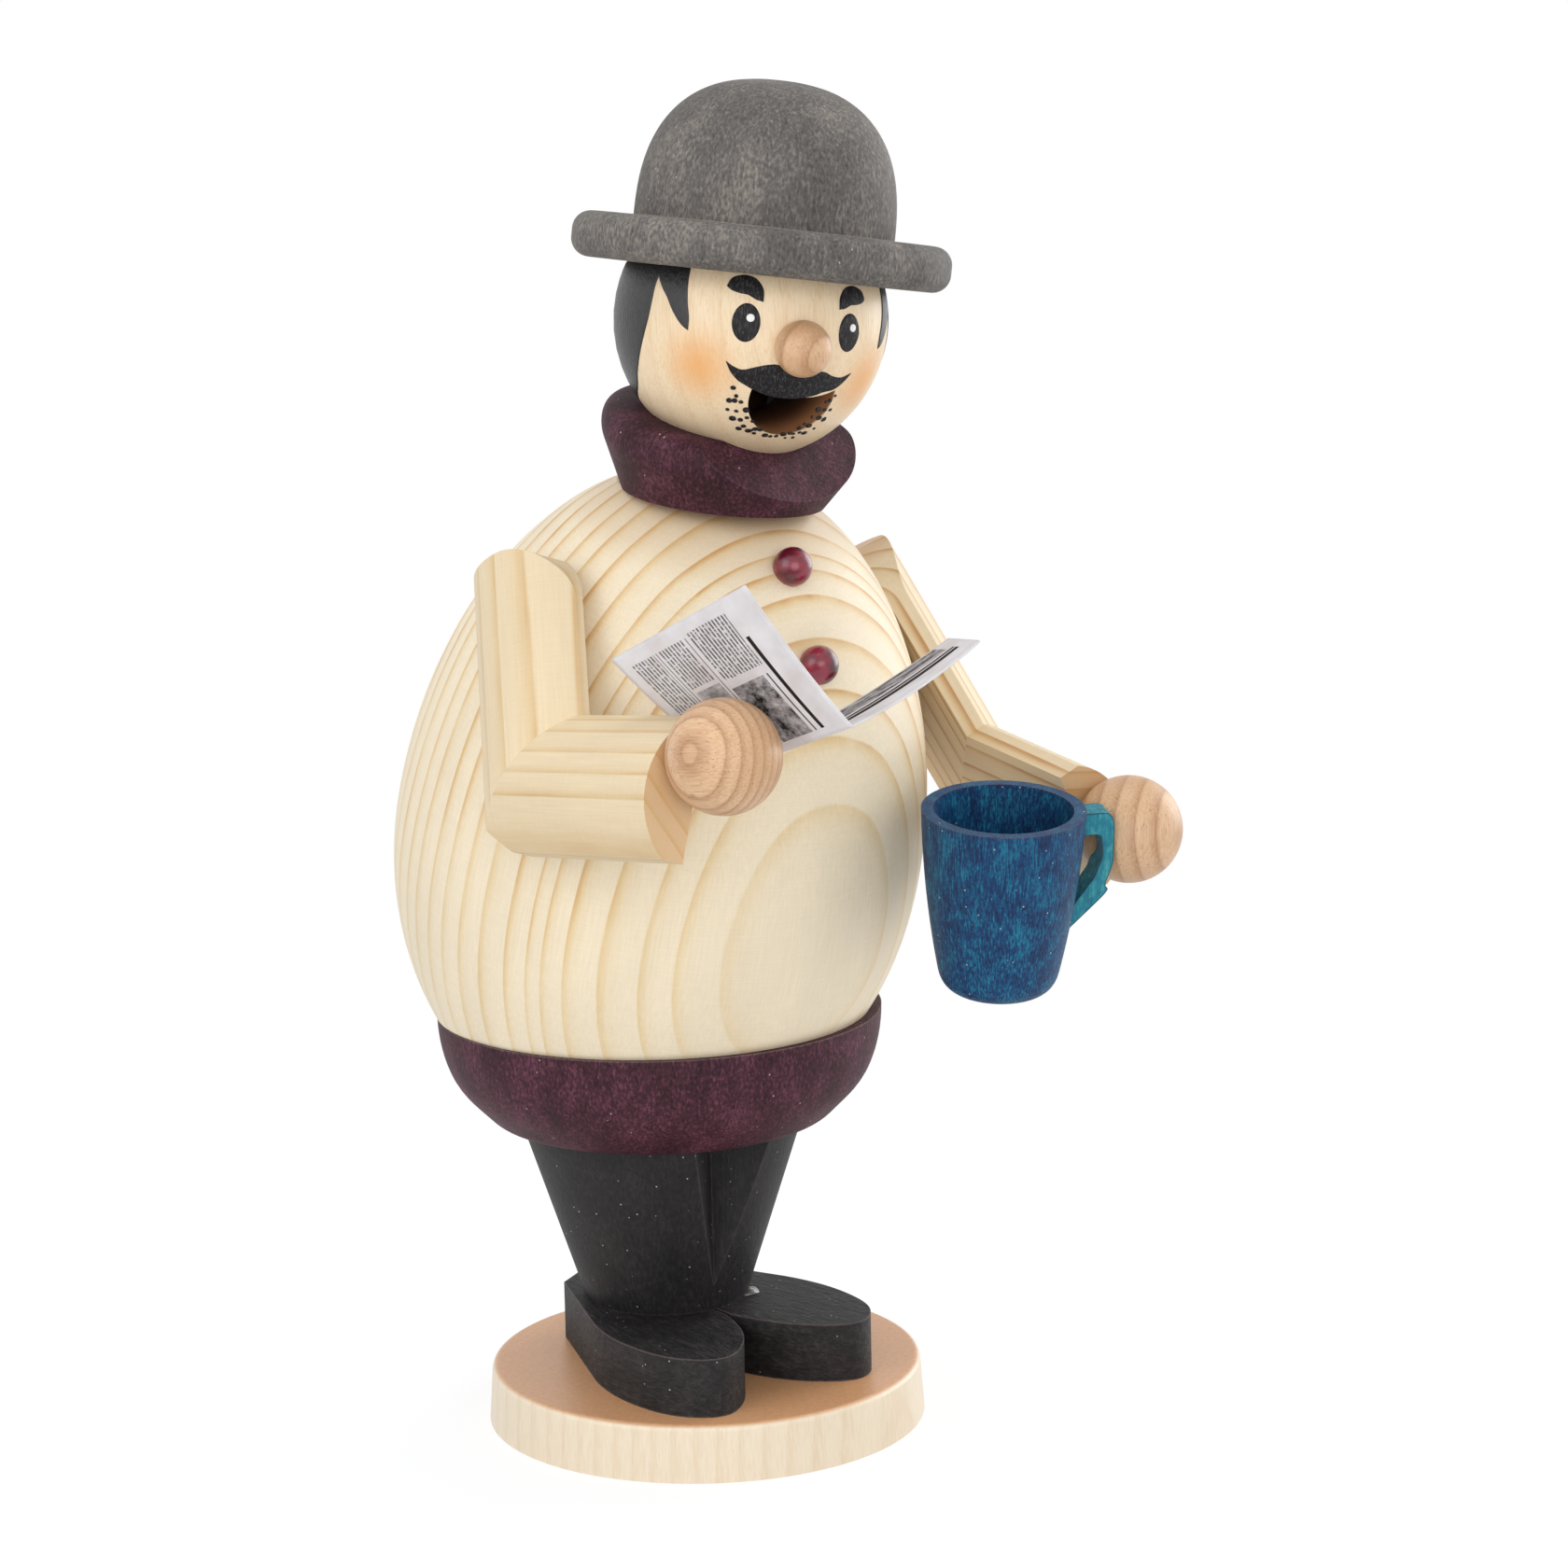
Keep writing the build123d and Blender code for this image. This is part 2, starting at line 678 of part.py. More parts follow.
def make_mug_blank():
    """Turned cup before it is bored: its side bows out a little and it narrows to a rounded base."""
    side_foot = (mug_base_radius + mug_base_rounding * (mug_radius - mug_base_radius) / mug_height,
                 mug_base_rounding - mug_height)
    base_edge = (mug_base_radius - mug_base_rounding, -mug_height)
    waist = ((mug_radius + side_foot[0]) / 2 + mug_bulge, side_foot[1] / 2)
    side = ThreePointArc((mug_radius, 0), waist, side_foot)
    corner = Spline(side_foot, base_edge, tangents=(side % 1, (-1, 0)))
    face = make_face(side + corner + Polyline(base_edge, (0, -mug_height), (0, 0), (mug_radius, 0)))
    return revolve(Plane.XZ * face, Axis.Z)


def make_mug_body():
    """Cup with a tapered bore that leaves the wall and the floor."""
    depth = mug_height - mug_floor
    bore_foot = mug_radius - mug_wall - (mug_radius - mug_base_radius) * depth / mug_height
    bore = Cone(bore_foot, mug_radius - mug_wall, depth, align=(Align.CENTER, Align.CENTER, Align.MAX))
    return mug_plane() * (make_mug_blank() - bore)


def handle_curve(shares):
    """Closed face of a curve beside the mug, from shares of the handle's reach and length."""
    width = mug_radius + handle_reach - mug_base_radius
    points = [(mug_base_radius + width * across, -handle_top_drop - handle_length * down)
              for across, down in shares]
    inside = mug_base_radius - mug_wall
    back = Polyline(points[-1], (inside, points[-1][1]), (inside, points[0][1]), points[0])
    foot = Line(points[-2], points[-1])
    front = Line(points[0], points[1]) + Spline(*points[1:-1], tangents=((1, 0), foot % 0)) + foot
    return Plane.XZ * make_face(front + back)


def make_mug_handle():
    """Flat loop on the mug's side that tapers to its lower end."""
    loop = handle_curve(handle_outline_shares) - handle_curve(handle_hole_shares)
    board = extrude(loop, amount=handle_thickness / 2, both=True)
    turned = Rot(0, 0, -handle_turn) * board
    return mug_plane() * (turned - make_mug_blank())


def side_name(side):
    """Name ending for one side of the figure."""
    return "right" if side < 0 else "left"


def build_parts():
    """All sub-parts by node name."""
    parts = {
        "base_disc": make_base_disc(),
        "trouser_legs": make_trousers(),
        "waist_bowl": make_waist_bowl(),
        "ember_plate": make_ember_plate(),
        "plate_nail": make_plate_nail(),
        "body_shell": make_body_shell(),
        "collar": make_collar(),
        "head": make_head(),
        "nose": make_nose(),
        "hat": make_hat(),
        "hat_dowel": make_hat_dowel(),
        "newspaper": make_newspaper(),
        "mug_body": make_mug_body(),
        "mug_handle": make_mug_handle(),
        "button_lower": make_button(button_rise_shares[0]),
        "button_upper": make_button(button_rise_shares[1]),
    }
    for side in (-1, 1):
        parts["shoe_" + side_name(side)] = make_shoe(side)
        parts["shoe_dowel_" + side_name(side)] = make_shoe_dowel(side)
        parts["upper_arm_" + side_name(side)] = make_upper_arm(side)
        parts["forearm_" + side_name(side)] = make_forearm(side)
        parts["shoulder_dowel_" + side_name(side)] = make_shoulder_dowel(side)
        parts["wrist_dowel_" + side_name(side)] = make_wrist_dowel(side)
        parts["hand_" + side_name(side)] = make_hand(side)
    return parts


os.makedirs("parts", exist_ok=True)
for name, shape in build_parts().items():
    export_step(shape, "parts/" + name + ".step")
    print(name, round(shape.volume, 1))
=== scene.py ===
"""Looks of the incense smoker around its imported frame: woods, stains, painted face, newspaper, studio.

Blender's lengths are metres. Sizes are written in millimetres, as a turner would give them, and MM
turns them to metres. The figure faces -Y, its right hand is at -X, and +Z is up.
"""

import logging
import math
from dataclasses import dataclass
from enum import Enum
from typing import Protocol, Union

import bmesh
import bpy
import numpy as np
from mathutils import Matrix, Vector


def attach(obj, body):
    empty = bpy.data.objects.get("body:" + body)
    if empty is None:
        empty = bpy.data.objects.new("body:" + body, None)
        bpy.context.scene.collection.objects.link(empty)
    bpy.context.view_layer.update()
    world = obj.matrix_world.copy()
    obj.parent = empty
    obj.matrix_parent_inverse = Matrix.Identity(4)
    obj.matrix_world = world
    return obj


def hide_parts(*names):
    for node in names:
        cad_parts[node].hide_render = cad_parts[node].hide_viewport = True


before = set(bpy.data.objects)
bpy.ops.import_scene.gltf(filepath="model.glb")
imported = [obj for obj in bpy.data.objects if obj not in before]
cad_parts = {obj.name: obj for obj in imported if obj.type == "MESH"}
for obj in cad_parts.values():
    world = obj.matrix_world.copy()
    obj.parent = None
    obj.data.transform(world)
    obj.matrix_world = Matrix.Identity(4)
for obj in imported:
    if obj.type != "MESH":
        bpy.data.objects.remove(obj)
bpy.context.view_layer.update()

LOG = logging.getLogger("smoker")

# One millimetre in metres, and the distance in millimetres under which two points are one.
MM = 0.001
WELD = 0.0005

ORIGIN = (0.0, 0.0, 0.0)
SIDEWAYS = (1.0, 0.0, 0.0)
FORWARD = (0.0, -1.0, 0.0)
UP = (0.0, 0.0, 1.0)
WHITE = (1.0, 1.0, 1.0, 1.0)

# Settings of a mix that lays one colour over another, and of one that multiplies both.
OVER = {"data_type": "RGBA", "blend_type": "MIX"}
TIMES = {"data_type": "RGBA", "blend_type": "MULTIPLY"}

# What a function for shader nodes takes: the tree, a node, or anything that fits a socket.
Tree = bpy.types.NodeTree
Node = bpy.types.Node
Value = Union[bpy.types.Node, bpy.types.NodeSocket, tuple, float]


class Body(Enum):
    """The two bodies that the figure comes apart into."""

    LOWER = "lower_figure"
    UPPER = "upper_figure"


class Side(Enum):
    """A side of the figure, with the sign of its X."""

    RIGHT = -1
    LEFT = 1

    @property
    def word(self) -> str:
        """Ending of the names of this side's nodes."""
        return self.name.lower()


class Finish(Protocol):
    """What every finish offers: its name and its material."""

    name: str

    def material(self) -> bpy.types.Material:
        """Build the material of this finish."""


def linear(code: str) -> tuple:
    """Turn an sRGB hex colour into linear red, green, blue and alpha.

    Args:
        code: colour such as "#E8D6B0".

    Returns:
        Four floats for a colour socket.
    """
    shares = [int(code[place:place + 2], 16) / 255 for place in (1, 3, 5)]
    return tuple(s / 12.92 if s <= 0.04045 else ((s + 0.055) / 1.055) ** 2.4 for s in shares) + (1.0,)


def add(tree: Tree, kind: str, inputs: dict = None, stops: tuple = (), **settings: object) -> Node:
    """Add a shader node with its settings, and set or link its inputs.

    Args:
        tree: node tree that takes the node.
        kind: node type without its "ShaderNode" beginning.
        inputs: value, socket or node by the input's name or number. A node gives its first live output.
        stops: colour ramp stops as (place, hex colour or grey value).
        settings: properties of the node.

    Returns:
        The new node.
    """
    node = tree.nodes.new("ShaderNode" + kind)
    for name, value in settings.items():
        setattr(node, name, value)
    for key, value in (inputs or {}).items():
        live = [s for s in node.inputs if s.enabled]
        socket = live[key] if isinstance(key, int) else next(s for s in live if s.name == key)
        if isinstance(value, bpy.types.Node):
            value = next(s for s in value.outputs if s.enabled)
        if isinstance(value, bpy.types.NodeSocket):
            tree.links.new(value, socket)
        else:
            socket.default_value = value
    if stops:
        elements = node.color_ramp.elements
        while len(elements) < len(stops):
            elements.new(1.0)
        for element, (place, colour) in zip(elements, stops):
            element.position = place
            element.color = linear(colour) if isinstance(colour, str) else (colour, colour, colour, 1.0)
    return node


def blank_material(name: str) -> tuple:
    """Make a material with an empty node tree.

    Args:
        name: the finish's name.

    Returns:
        The material and its node tree.
    """
    material = bpy.data.materials.new(name)
    material.use_nodes = True
    material.node_tree.nodes.clear()
    return material, material.node_tree


@dataclass(frozen=True)
class Grain:
    """How a piece of wood lay in its tree.

    start: point on a growth layer, in millimetres
    fibres: direction of the fibres
    bark: direction from the pith to the bark
    pith: distance from the pith to the start, in millimetres, which bends the layers
    stray_scale: bends of the layers per millimetre across, across and along the fibres
    """

    start: tuple
    fibres: tuple
    bark: tuple
    pith: float = 300.0
    stray_scale: tuple = (0.05, 0.05, 0.015)

    def space(self, tree: Tree) -> Node:
        """Add nodes that turn object coordinates into millimetres along these directions.

        Local Z runs along the fibres and local Y from pith to bark: P' = R (1000 P) - R start,
        where the rows of R are the three directions.

        Args:
            tree: node tree that takes the nodes.

        Returns:
            The node with the local position.
        """
        along = Vector(self.fibres).normalized()
        side = Vector(self.bark).cross(along).normalized()
        bark = along.cross(side).normalized()
        turn = Matrix((side, bark, along))
        start = turn @ Vector(self.start)
        coordinates = add(tree, "TexCoord")
        return add(tree, "Mapping", {
            "Vector": coordinates.outputs["Object"],
            "Location": tuple(-start),
            "Rotation": tuple(turn.to_euler("XYZ")),
            "Scale": (1 / MM, 1 / MM, 1 / MM),
        })

    def layers(self, tree: Tree, place: Node, wobble: float) -> Node:
        """Add nodes that give the depth below the start, counted across the growth layers.

        depth = distance from the pith line - pith + wobble (noise - 1/2), the noise stretched
        along the fibres.

        Args:
            tree: node tree that takes the nodes.
            place: node with the local position.
            wobble: how far the layers stray, in millimetres.

        Returns:
            The node with the depth in millimetres.
        """
        from_pith = add(tree, "VectorMath", {0: place, 1: (0.0, self.pith, 0.0)}, operation="ADD")
        flat = add(tree, "VectorMath", {0: from_pith, 1: (1.0, 1.0, 0.0)}, operation="MULTIPLY")
        radius = add(tree, "VectorMath", {0: flat}, operation="LENGTH").outputs["Value"]
        slow = add(tree, "VectorMath", {0: place, 1: self.stray_scale}, operation="MULTIPLY")
        noise = add(tree, "TexNoise", {"Vector": slow, "Scale": 1.0, "Detail": 2.0})
        stray = add(tree, "Math", {0: noise, 1: wobble, 2: -self.pith - wobble / 2}, operation="MULTIPLY_ADD")
        return add(tree, "Math", {0: radius, 1: stray}, operation="ADD")


def streaks(tree: Tree, place: Node, across: float, along: float, detail: float = 3.0,
            seed: float = 0.0) -> Node:
    """Add a noise that is drawn out along the fibres.

    Args:
        tree: node tree that takes the nodes.
        place: node with the local position in millimetres.
        across: width of a streak in millimetres.
        along: length of a streak in millimetres.
        detail: octaves of finer streaks.
        seed: shift that makes one noise differ from the next.

    Returns:
        The noise node, whose value is about 0.5 on average.
    """
    stretched = add(tree, "Mapping", {
        "Vector": place,
        "Location": (seed, seed, seed),
        "Scale": (1 / across, 1 / across, 1 / along),
    })
    return add(tree, "TexNoise", {"Vector": stretched, "Scale": 1.0, "Detail": detail, "Roughness": 0.6})


def tone(tree: Tree, colour: Value, noise: Node, low: float, high: float, spread: float = 0.2) -> Node:
    """Add nodes that make a colour darker and lighter with a noise.

    Args:
        tree: node tree that takes the nodes.
        colour: the colour, a value or a node.
        noise: node whose value is about 0.5 on average.
        low: what the colour is multiplied by where the noise is low.
        high: what it is multiplied by where the noise is high.
        spread: how far from 0.5 the noise counts as low or high.

    Returns:
        The node with the changed colour.
    """
    level = add(tree, "MapRange", {"Value": noise, "From Min": 0.5 - spread, "From Max": 0.5 + spread,
                                   "To Min": low, "To Max": high})
    return add(tree, "Mix", {"Factor": 1.0, "A": colour, "B": level}, **TIMES)


def surface_output(tree: Tree, colour: Value, roughness: Value, height: Node, relief: float,
                   **sockets: float) -> None:
    """Add the shader, its bump and the material output.

    Args:
        tree: node tree that takes the nodes.
        colour: base colour, a value or a node.
        roughness: a value or a node.
        height: node with a height between 0 and 1.
        relief: what a height of 1 stands for, in millimetres.
        sockets: further sockets of the shader, with spaces written as underscores.
    """
    bump = add(tree, "Bump", {"Height": height, "Strength": 1.0, "Distance": relief * MM})
    inputs = {"Base Color": colour, "Roughness": roughness, "Normal": bump}
    inputs.update({name.replace("_", " "): value for name, value in sockets.items()})
    add(tree, "OutputMaterial", {"Surface": add(tree, "BsdfPrincipled", inputs)})


def end_mask(tree: Tree, grain: Grain, low: float, high: float) -> Node:
    """Add nodes that find end grain, where the surface looks along the fibres.

    Args:
        tree: node tree that takes the nodes.
        grain: the wood's directions.
        low: cosine at which end grain begins to show.
        high: cosine at which it shows fully.

    Returns:
        The node with a factor from 0 to 1.
    """
    normal = add(tree, "TexCoord").outputs["Normal"]
    fibres = tuple(Vector(grain.fibres).normalized())
    cosine = add(tree, "VectorMath", {0: normal, 1: fibres}, operation="DOT_PRODUCT").outputs["Value"]
    size = add(tree, "Math", {0: cosine}, operation="ABSOLUTE")
    return add(tree, "MapRange", {"Value": size, "From Min": low, "From Max": high})


@dataclass(frozen=True)
class Softwood:
    """Spruce or pine, turned or planed, sanded and sealed matt.

    The early wood is cream. Each layer darkens slowly to honey late wood and stops sharply, fine
    fibres run along it, and sanding leaves faint marks across it. Fibres and sanding marks are
    under 0.1 mm wide on the real wood and are drawn two to three times as coarse, so that they show.

    ring_widths: widths of the layers one after another from the start, in millimetres
    late_strength, weak_strength: how dark late wood is at the two ends of fade
    fade: places along the fibres between which its darkness changes, in millimetres
    first_strength, first_depth: how dark it is at depth 0, and the depth at which it is full
    wobble: how far the layers stray, in millimetres
    layer_profile: darkness by the share of a layer, from its early to its late wood
    end_strength: share of the end wood's colour on end grain
    """

    name: str
    grain: Grain
    ring_widths: tuple = (2.9,) * 20
    early: str = "#F3E6C8"
    middle: str = "#EBD5AC"
    late: str = "#D6A566"
    end_wood: str = "#C9975F"
    late_strength: float = 1.0
    weak_strength: float = 1.0
    fade: tuple = (-22.0, 28.0)
    first_strength: float = 1.0
    first_depth: float = 9.0
    wobble: float = 1.0
    layer_profile: tuple = ((0.0, 0.0), (0.4, 0.03), (0.7, 0.25), (0.88, 0.8), (0.95, 1.0), (1.0, 0.0))
    end_strength: float = 0.55
    roughness: float = 0.5

    def material(self) -> bpy.types.Material:
        """Build the material of this finish.

        Returns:
            The material.
        """
        material, tree = blank_material(self.name)
        place = self.grain.space(tree)
        depth = self.grain.layers(tree, place, self.wobble)
        number = self.layer_number(tree, depth)
        part = add(tree, "Math", {0: number}, operation="FRACT")
        profile = add(tree, "ValToRGB", {"Fac": part}, self.layer_profile)
        strength = add(tree, "Math", {0: profile, 1: self.darkness(tree, place, depth)}, operation="MULTIPLY")
        wood = add(tree, "ValToRGB", {"Fac": strength}, [
            (0.0, self.early), (0.45, self.middle), (1.0, self.late)])
        fibres = streaks(tree, place, across=0.25, along=7.0)
        clouds = streaks(tree, place, across=9.0, along=30.0, detail=1.0, seed=7.0)
        sanding = streaks(tree, place, across=3.2, along=0.16, detail=2.0, seed=13.0)
        toned = tone(tree, wood, fibres, low=0.94, high=1.04, spread=0.25)
        toned = tone(tree, toned, clouds, low=0.965, high=1.02)
        toned = tone(tree, toned, sanding, low=0.975, high=1.02)
        ends = end_mask(tree, self.grain, low=0.72, high=0.95)
        end_share = add(tree, "Math", {0: ends, 1: self.end_strength}, operation="MULTIPLY")
        toned = add(tree, "Mix", {"Factor": end_share, "A": toned, "B": linear(self.end_wood)}, **OVER)
        height = add(tree, "Math", {0: strength, 1: 0.5, 2: fibres}, operation="MULTIPLY_ADD")
        surface_output(tree, toned, self.roughness, height, relief=0.02, Coat_Weight=0.12,
                       Coat_Roughness=0.35)
        return material

    def darkness(self, tree: Tree, place: Node, depth: Node) -> Node:
        """Add nodes for how dark the late wood is: fade along the fibres x patches x ramp by depth.

        Args:
            tree: node tree that takes the nodes.
            place: node with the local position.
            depth: node with the depth across the layers.

        Returns:
            The node with the factor.
        """
        along = add(tree, "SeparateXYZ", {0: place}).outputs["Z"]
        faded = add(tree, "MapRange", {"Value": along, "From Min": self.fade[0], "From Max": self.fade[1],
                                       "To Min": self.weak_strength, "To Max": self.late_strength})
        patchy = streaks(tree, place, across=5.0, along=16.0, detail=2.0, seed=21.0)
        patchiness = add(tree, "MapRange", {"Value": patchy, "From Min": 0.3, "From Max": 0.7,
                                            "To Min": 0.6, "To Max": 1.15})
        grazed = add(tree, "MapRange", {"Value": depth, "From Min": 0.0, "From Max": self.first_depth,
                                        "To Min": self.first_strength})
        level = add(tree, "Math", {0: faded, 1: patchiness}, operation="MULTIPLY")
        return add(tree, "Math", {0: level, 1: grazed}, operation="MULTIPLY")

    def layer_number(self, tree: Tree, depth: Node) -> Node:
        """Add nodes that count growth layers: a ramp through the summed ring widths, by depth.

        Args:
            tree: node tree that takes the nodes.
            depth: node with the depth across the layers.

        Returns:
            The node with the number, whose whole part counts layers.
        """
        total = sum(self.ring_widths)
        count = len(self.ring_widths)
        share = add(tree, "Math", {0: depth, 1: total}, operation="DIVIDE")
        edges = np.concatenate(([0.0], np.cumsum(self.ring_widths))) / total
        stops = [(float(edge), index / count) for index, edge in enumerate(edges)]
        ramp = add(tree, "ValToRGB", {"Fac": share}, stops)
        return add(tree, "Math", {0: ramp, 1: float(count)}, operation="MULTIPLY")


@dataclass(frozen=True)
class Hardwood:
    """Beech, maple, birch or lime, turned and sealed matt.

    The grain is close and even, with soft bands and short dark flecks, and end grain is darker and
    speckled with pores. Pores of 0.05 to 0.1 mm are drawn as clouds of 0.6 mm, so that they show.

    ring_width: width of a growth layer in millimetres
    band_strength, fleck_strength: how dark bands and flecks are
    fibre_strength, fibre_level: what the fibres' noise is multiplied by, and what is taken from it
    end_dark: share of the end wood's colour on end grain
    pore_cloud: size of the pores' clouds in millimetres
    wobble: how far the layers stray, in millimetres
    layer_profile: darkness by the share of a layer, from its early to its late wood
    coat, coat_roughness: strength and roughness of the seal
    relief: height of the fibres in millimetres
    """

    name: str
    grain: Grain
    pale: str = "#DDB98C"
    dark: str = "#BC8A5B"
    ring_width: float = 1.7
    band_strength: float = 0.7
    fleck_strength: float = 0.25
    fibre_strength: float = 1.1
    fibre_level: float = 0.5
    end_wood: str = "#BC8A5B"
    end_dark: float = 0.35
    pore_cloud: float = 0.625
    wobble: float = 2.2
    layer_profile: tuple = ((0.0, 0.55), (0.12, 0.1), (0.55, 0.2), (0.88, 0.75), (0.97, 1.0), (1.0, 0.55))
    roughness: float = 0.45
    coat: float = 0.15
    coat_roughness: float = 0.3
    relief: float = 0.02

    def shade(self, tree: Tree) -> tuple:
        """Add the nodes of the wood's colour and height.

        Args:
            tree: node tree that takes the nodes.

        Returns:
            The node with the colour and the node with the height.
        """
        place = self.grain.space(tree)
        depth = self.grain.layers(tree, place, self.wobble)
        number = add(tree, "Math", {0: depth, 1: self.ring_width}, operation="DIVIDE")
        part = add(tree, "Math", {0: number}, operation="FRACT")
        profile = add(tree, "ValToRGB", {"Fac": part}, self.layer_profile)
        banded = add(tree, "Math", {0: profile, 1: self.band_strength}, operation="MULTIPLY")
        fibres = streaks(tree, place, across=0.22, along=4.0)
        lined = add(tree, "Math", {0: fibres, 1: self.fibre_strength, 2: -self.fibre_level},
                    operation="MULTIPLY_ADD")
        value = add(tree, "Math", {0: banded, 1: lined}, operation="ADD", use_clamp=True)
        wood = add(tree, "ValToRGB", {"Fac": value}, [(0.0, self.pale), (1.0, self.dark)])
        flecks = streaks(tree, place, across=0.18, along=1.1, detail=1.0, seed=5.0)
        fleck = add(tree, "MapRange", {"Value": flecks, "From Min": 0.62, "From Max": 0.72,
                                       "To Max": self.fleck_strength})
        flecked = add(tree, "Mix", {"Factor": fleck, "A": wood, "B": linear(self.dark)}, **OVER)
        ends = end_mask(tree, self.grain, low=0.6, high=0.95)
        end_share = add(tree, "Math", {0: ends, 1: self.end_dark}, operation="MULTIPLY")
        pores = add(tree, "TexNoise", {"Vector": place, "Scale": 1 / self.pore_cloud, "Detail": 5.0,
                                       "Roughness": 0.8})
        end_colour = tone(tree, linear(self.end_wood), pores, low=0.84, high=1.1)
        return add(tree, "Mix", {"Factor": end_share, "A": flecked, "B": end_colour}, **OVER), fibres

    def finish(self, tree: Tree, colour: Node, height: Node) -> None:
        """Add the seal over the wood's colour and height."""
        surface_output(tree, colour, self.roughness, height, self.relief, Coat_Weight=self.coat,
                       Coat_Roughness=self.coat_roughness)

    def material(self) -> bpy.types.Material:
        """Build the material of this finish.

        Returns:
            The material.
        """
        material, tree = blank_material(self.name)
        self.finish(tree, *self.shade(tree))
        return material


def birch_dowel(place: str, grain: Grain) -> Hardwood:
    """Birch dowel, planed round and left raw."""
    return Hardwood("birch dowel, " + place, grain, pale="#E6CDA4")


@dataclass(frozen=True)
class Skin:
    """Limewood head, sealed: rouged cheeks, and singed wood in the mouth and the smoke bore, darkened deeper
    in with painted shade.

    wood: the head's wood
    centre, radius: the ball, in millimetres
    cheeks: middles of the rouged spots, in millimetres
    cheek_radius: reach of the rouge, in millimetres
    bored_depth: depth below the ball's surface at which the bored wood begins, in millimetres
    bore_scorch_and_shade: colours by the share of the radius, from black deep in the bore, partly soot and
    partly painted shade of the hole, over singed brown wood out to the lip
    """

    wood: Hardwood
    centre: tuple
    radius: float
    cheeks: tuple
    cheek_radius: float = 6.0
    rouge: str = "#E8A04E"
    rouge_strength: float = 0.75
    bored_depth: float = 0.25
    bore_scorch_and_shade: tuple = ((0.6, "#0C0908"), (0.74, "#6A432B"), (0.9, "#B98258"))

    @property
    def name(self) -> str:
        """Name of the material, which is the wood's."""
        return self.wood.name

    def material(self) -> bpy.types.Material:
        """Build the material of this finish.

        Returns:
            The material.
        """
        material, tree = blank_material(self.name)
        colour, height = self.wood.shade(tree)
        place = add(tree, "TexCoord").outputs["Object"]
        point = add(tree, "VectorMath", {0: place, 1: (1 / MM,) * 3}, operation="MULTIPLY")
        for cheek in self.cheeks:
            away = add(tree, "VectorMath", {0: point, 1: cheek}, operation="DISTANCE").outputs["Value"]
            rouge = add(tree, "MapRange", {"Value": away, "From Min": self.cheek_radius, "From Max": 0.0,
                                           "To Max": self.rouge_strength}, interpolation_type="SMOOTHSTEP")
            colour = add(tree, "Mix", {"Factor": rouge, "A": colour, "B": linear(self.rouge)}, **OVER)
        # Inside the bores the colour runs from singed brown at the lip to black deep in: partly soot, partly
        # painted shade of the deep holes.
        middle = add(tree, "VectorMath", {0: point, 1: self.centre}, operation="DISTANCE").outputs["Value"]
        bored = add(tree, "Math", {0: middle, 1: self.radius - self.bored_depth}, operation="LESS_THAN")
        share = add(tree, "Math", {0: middle, 1: self.radius}, operation="DIVIDE")
        scorched_and_shaded = add(tree, "ValToRGB", {"Fac": share}, self.bore_scorch_and_shade)
        colour = add(tree, "Mix", {"Factor": bored, "A": colour, "B": scorched_and_shaded}, **OVER)
        self.wood.finish(tree, colour, height)
        return material


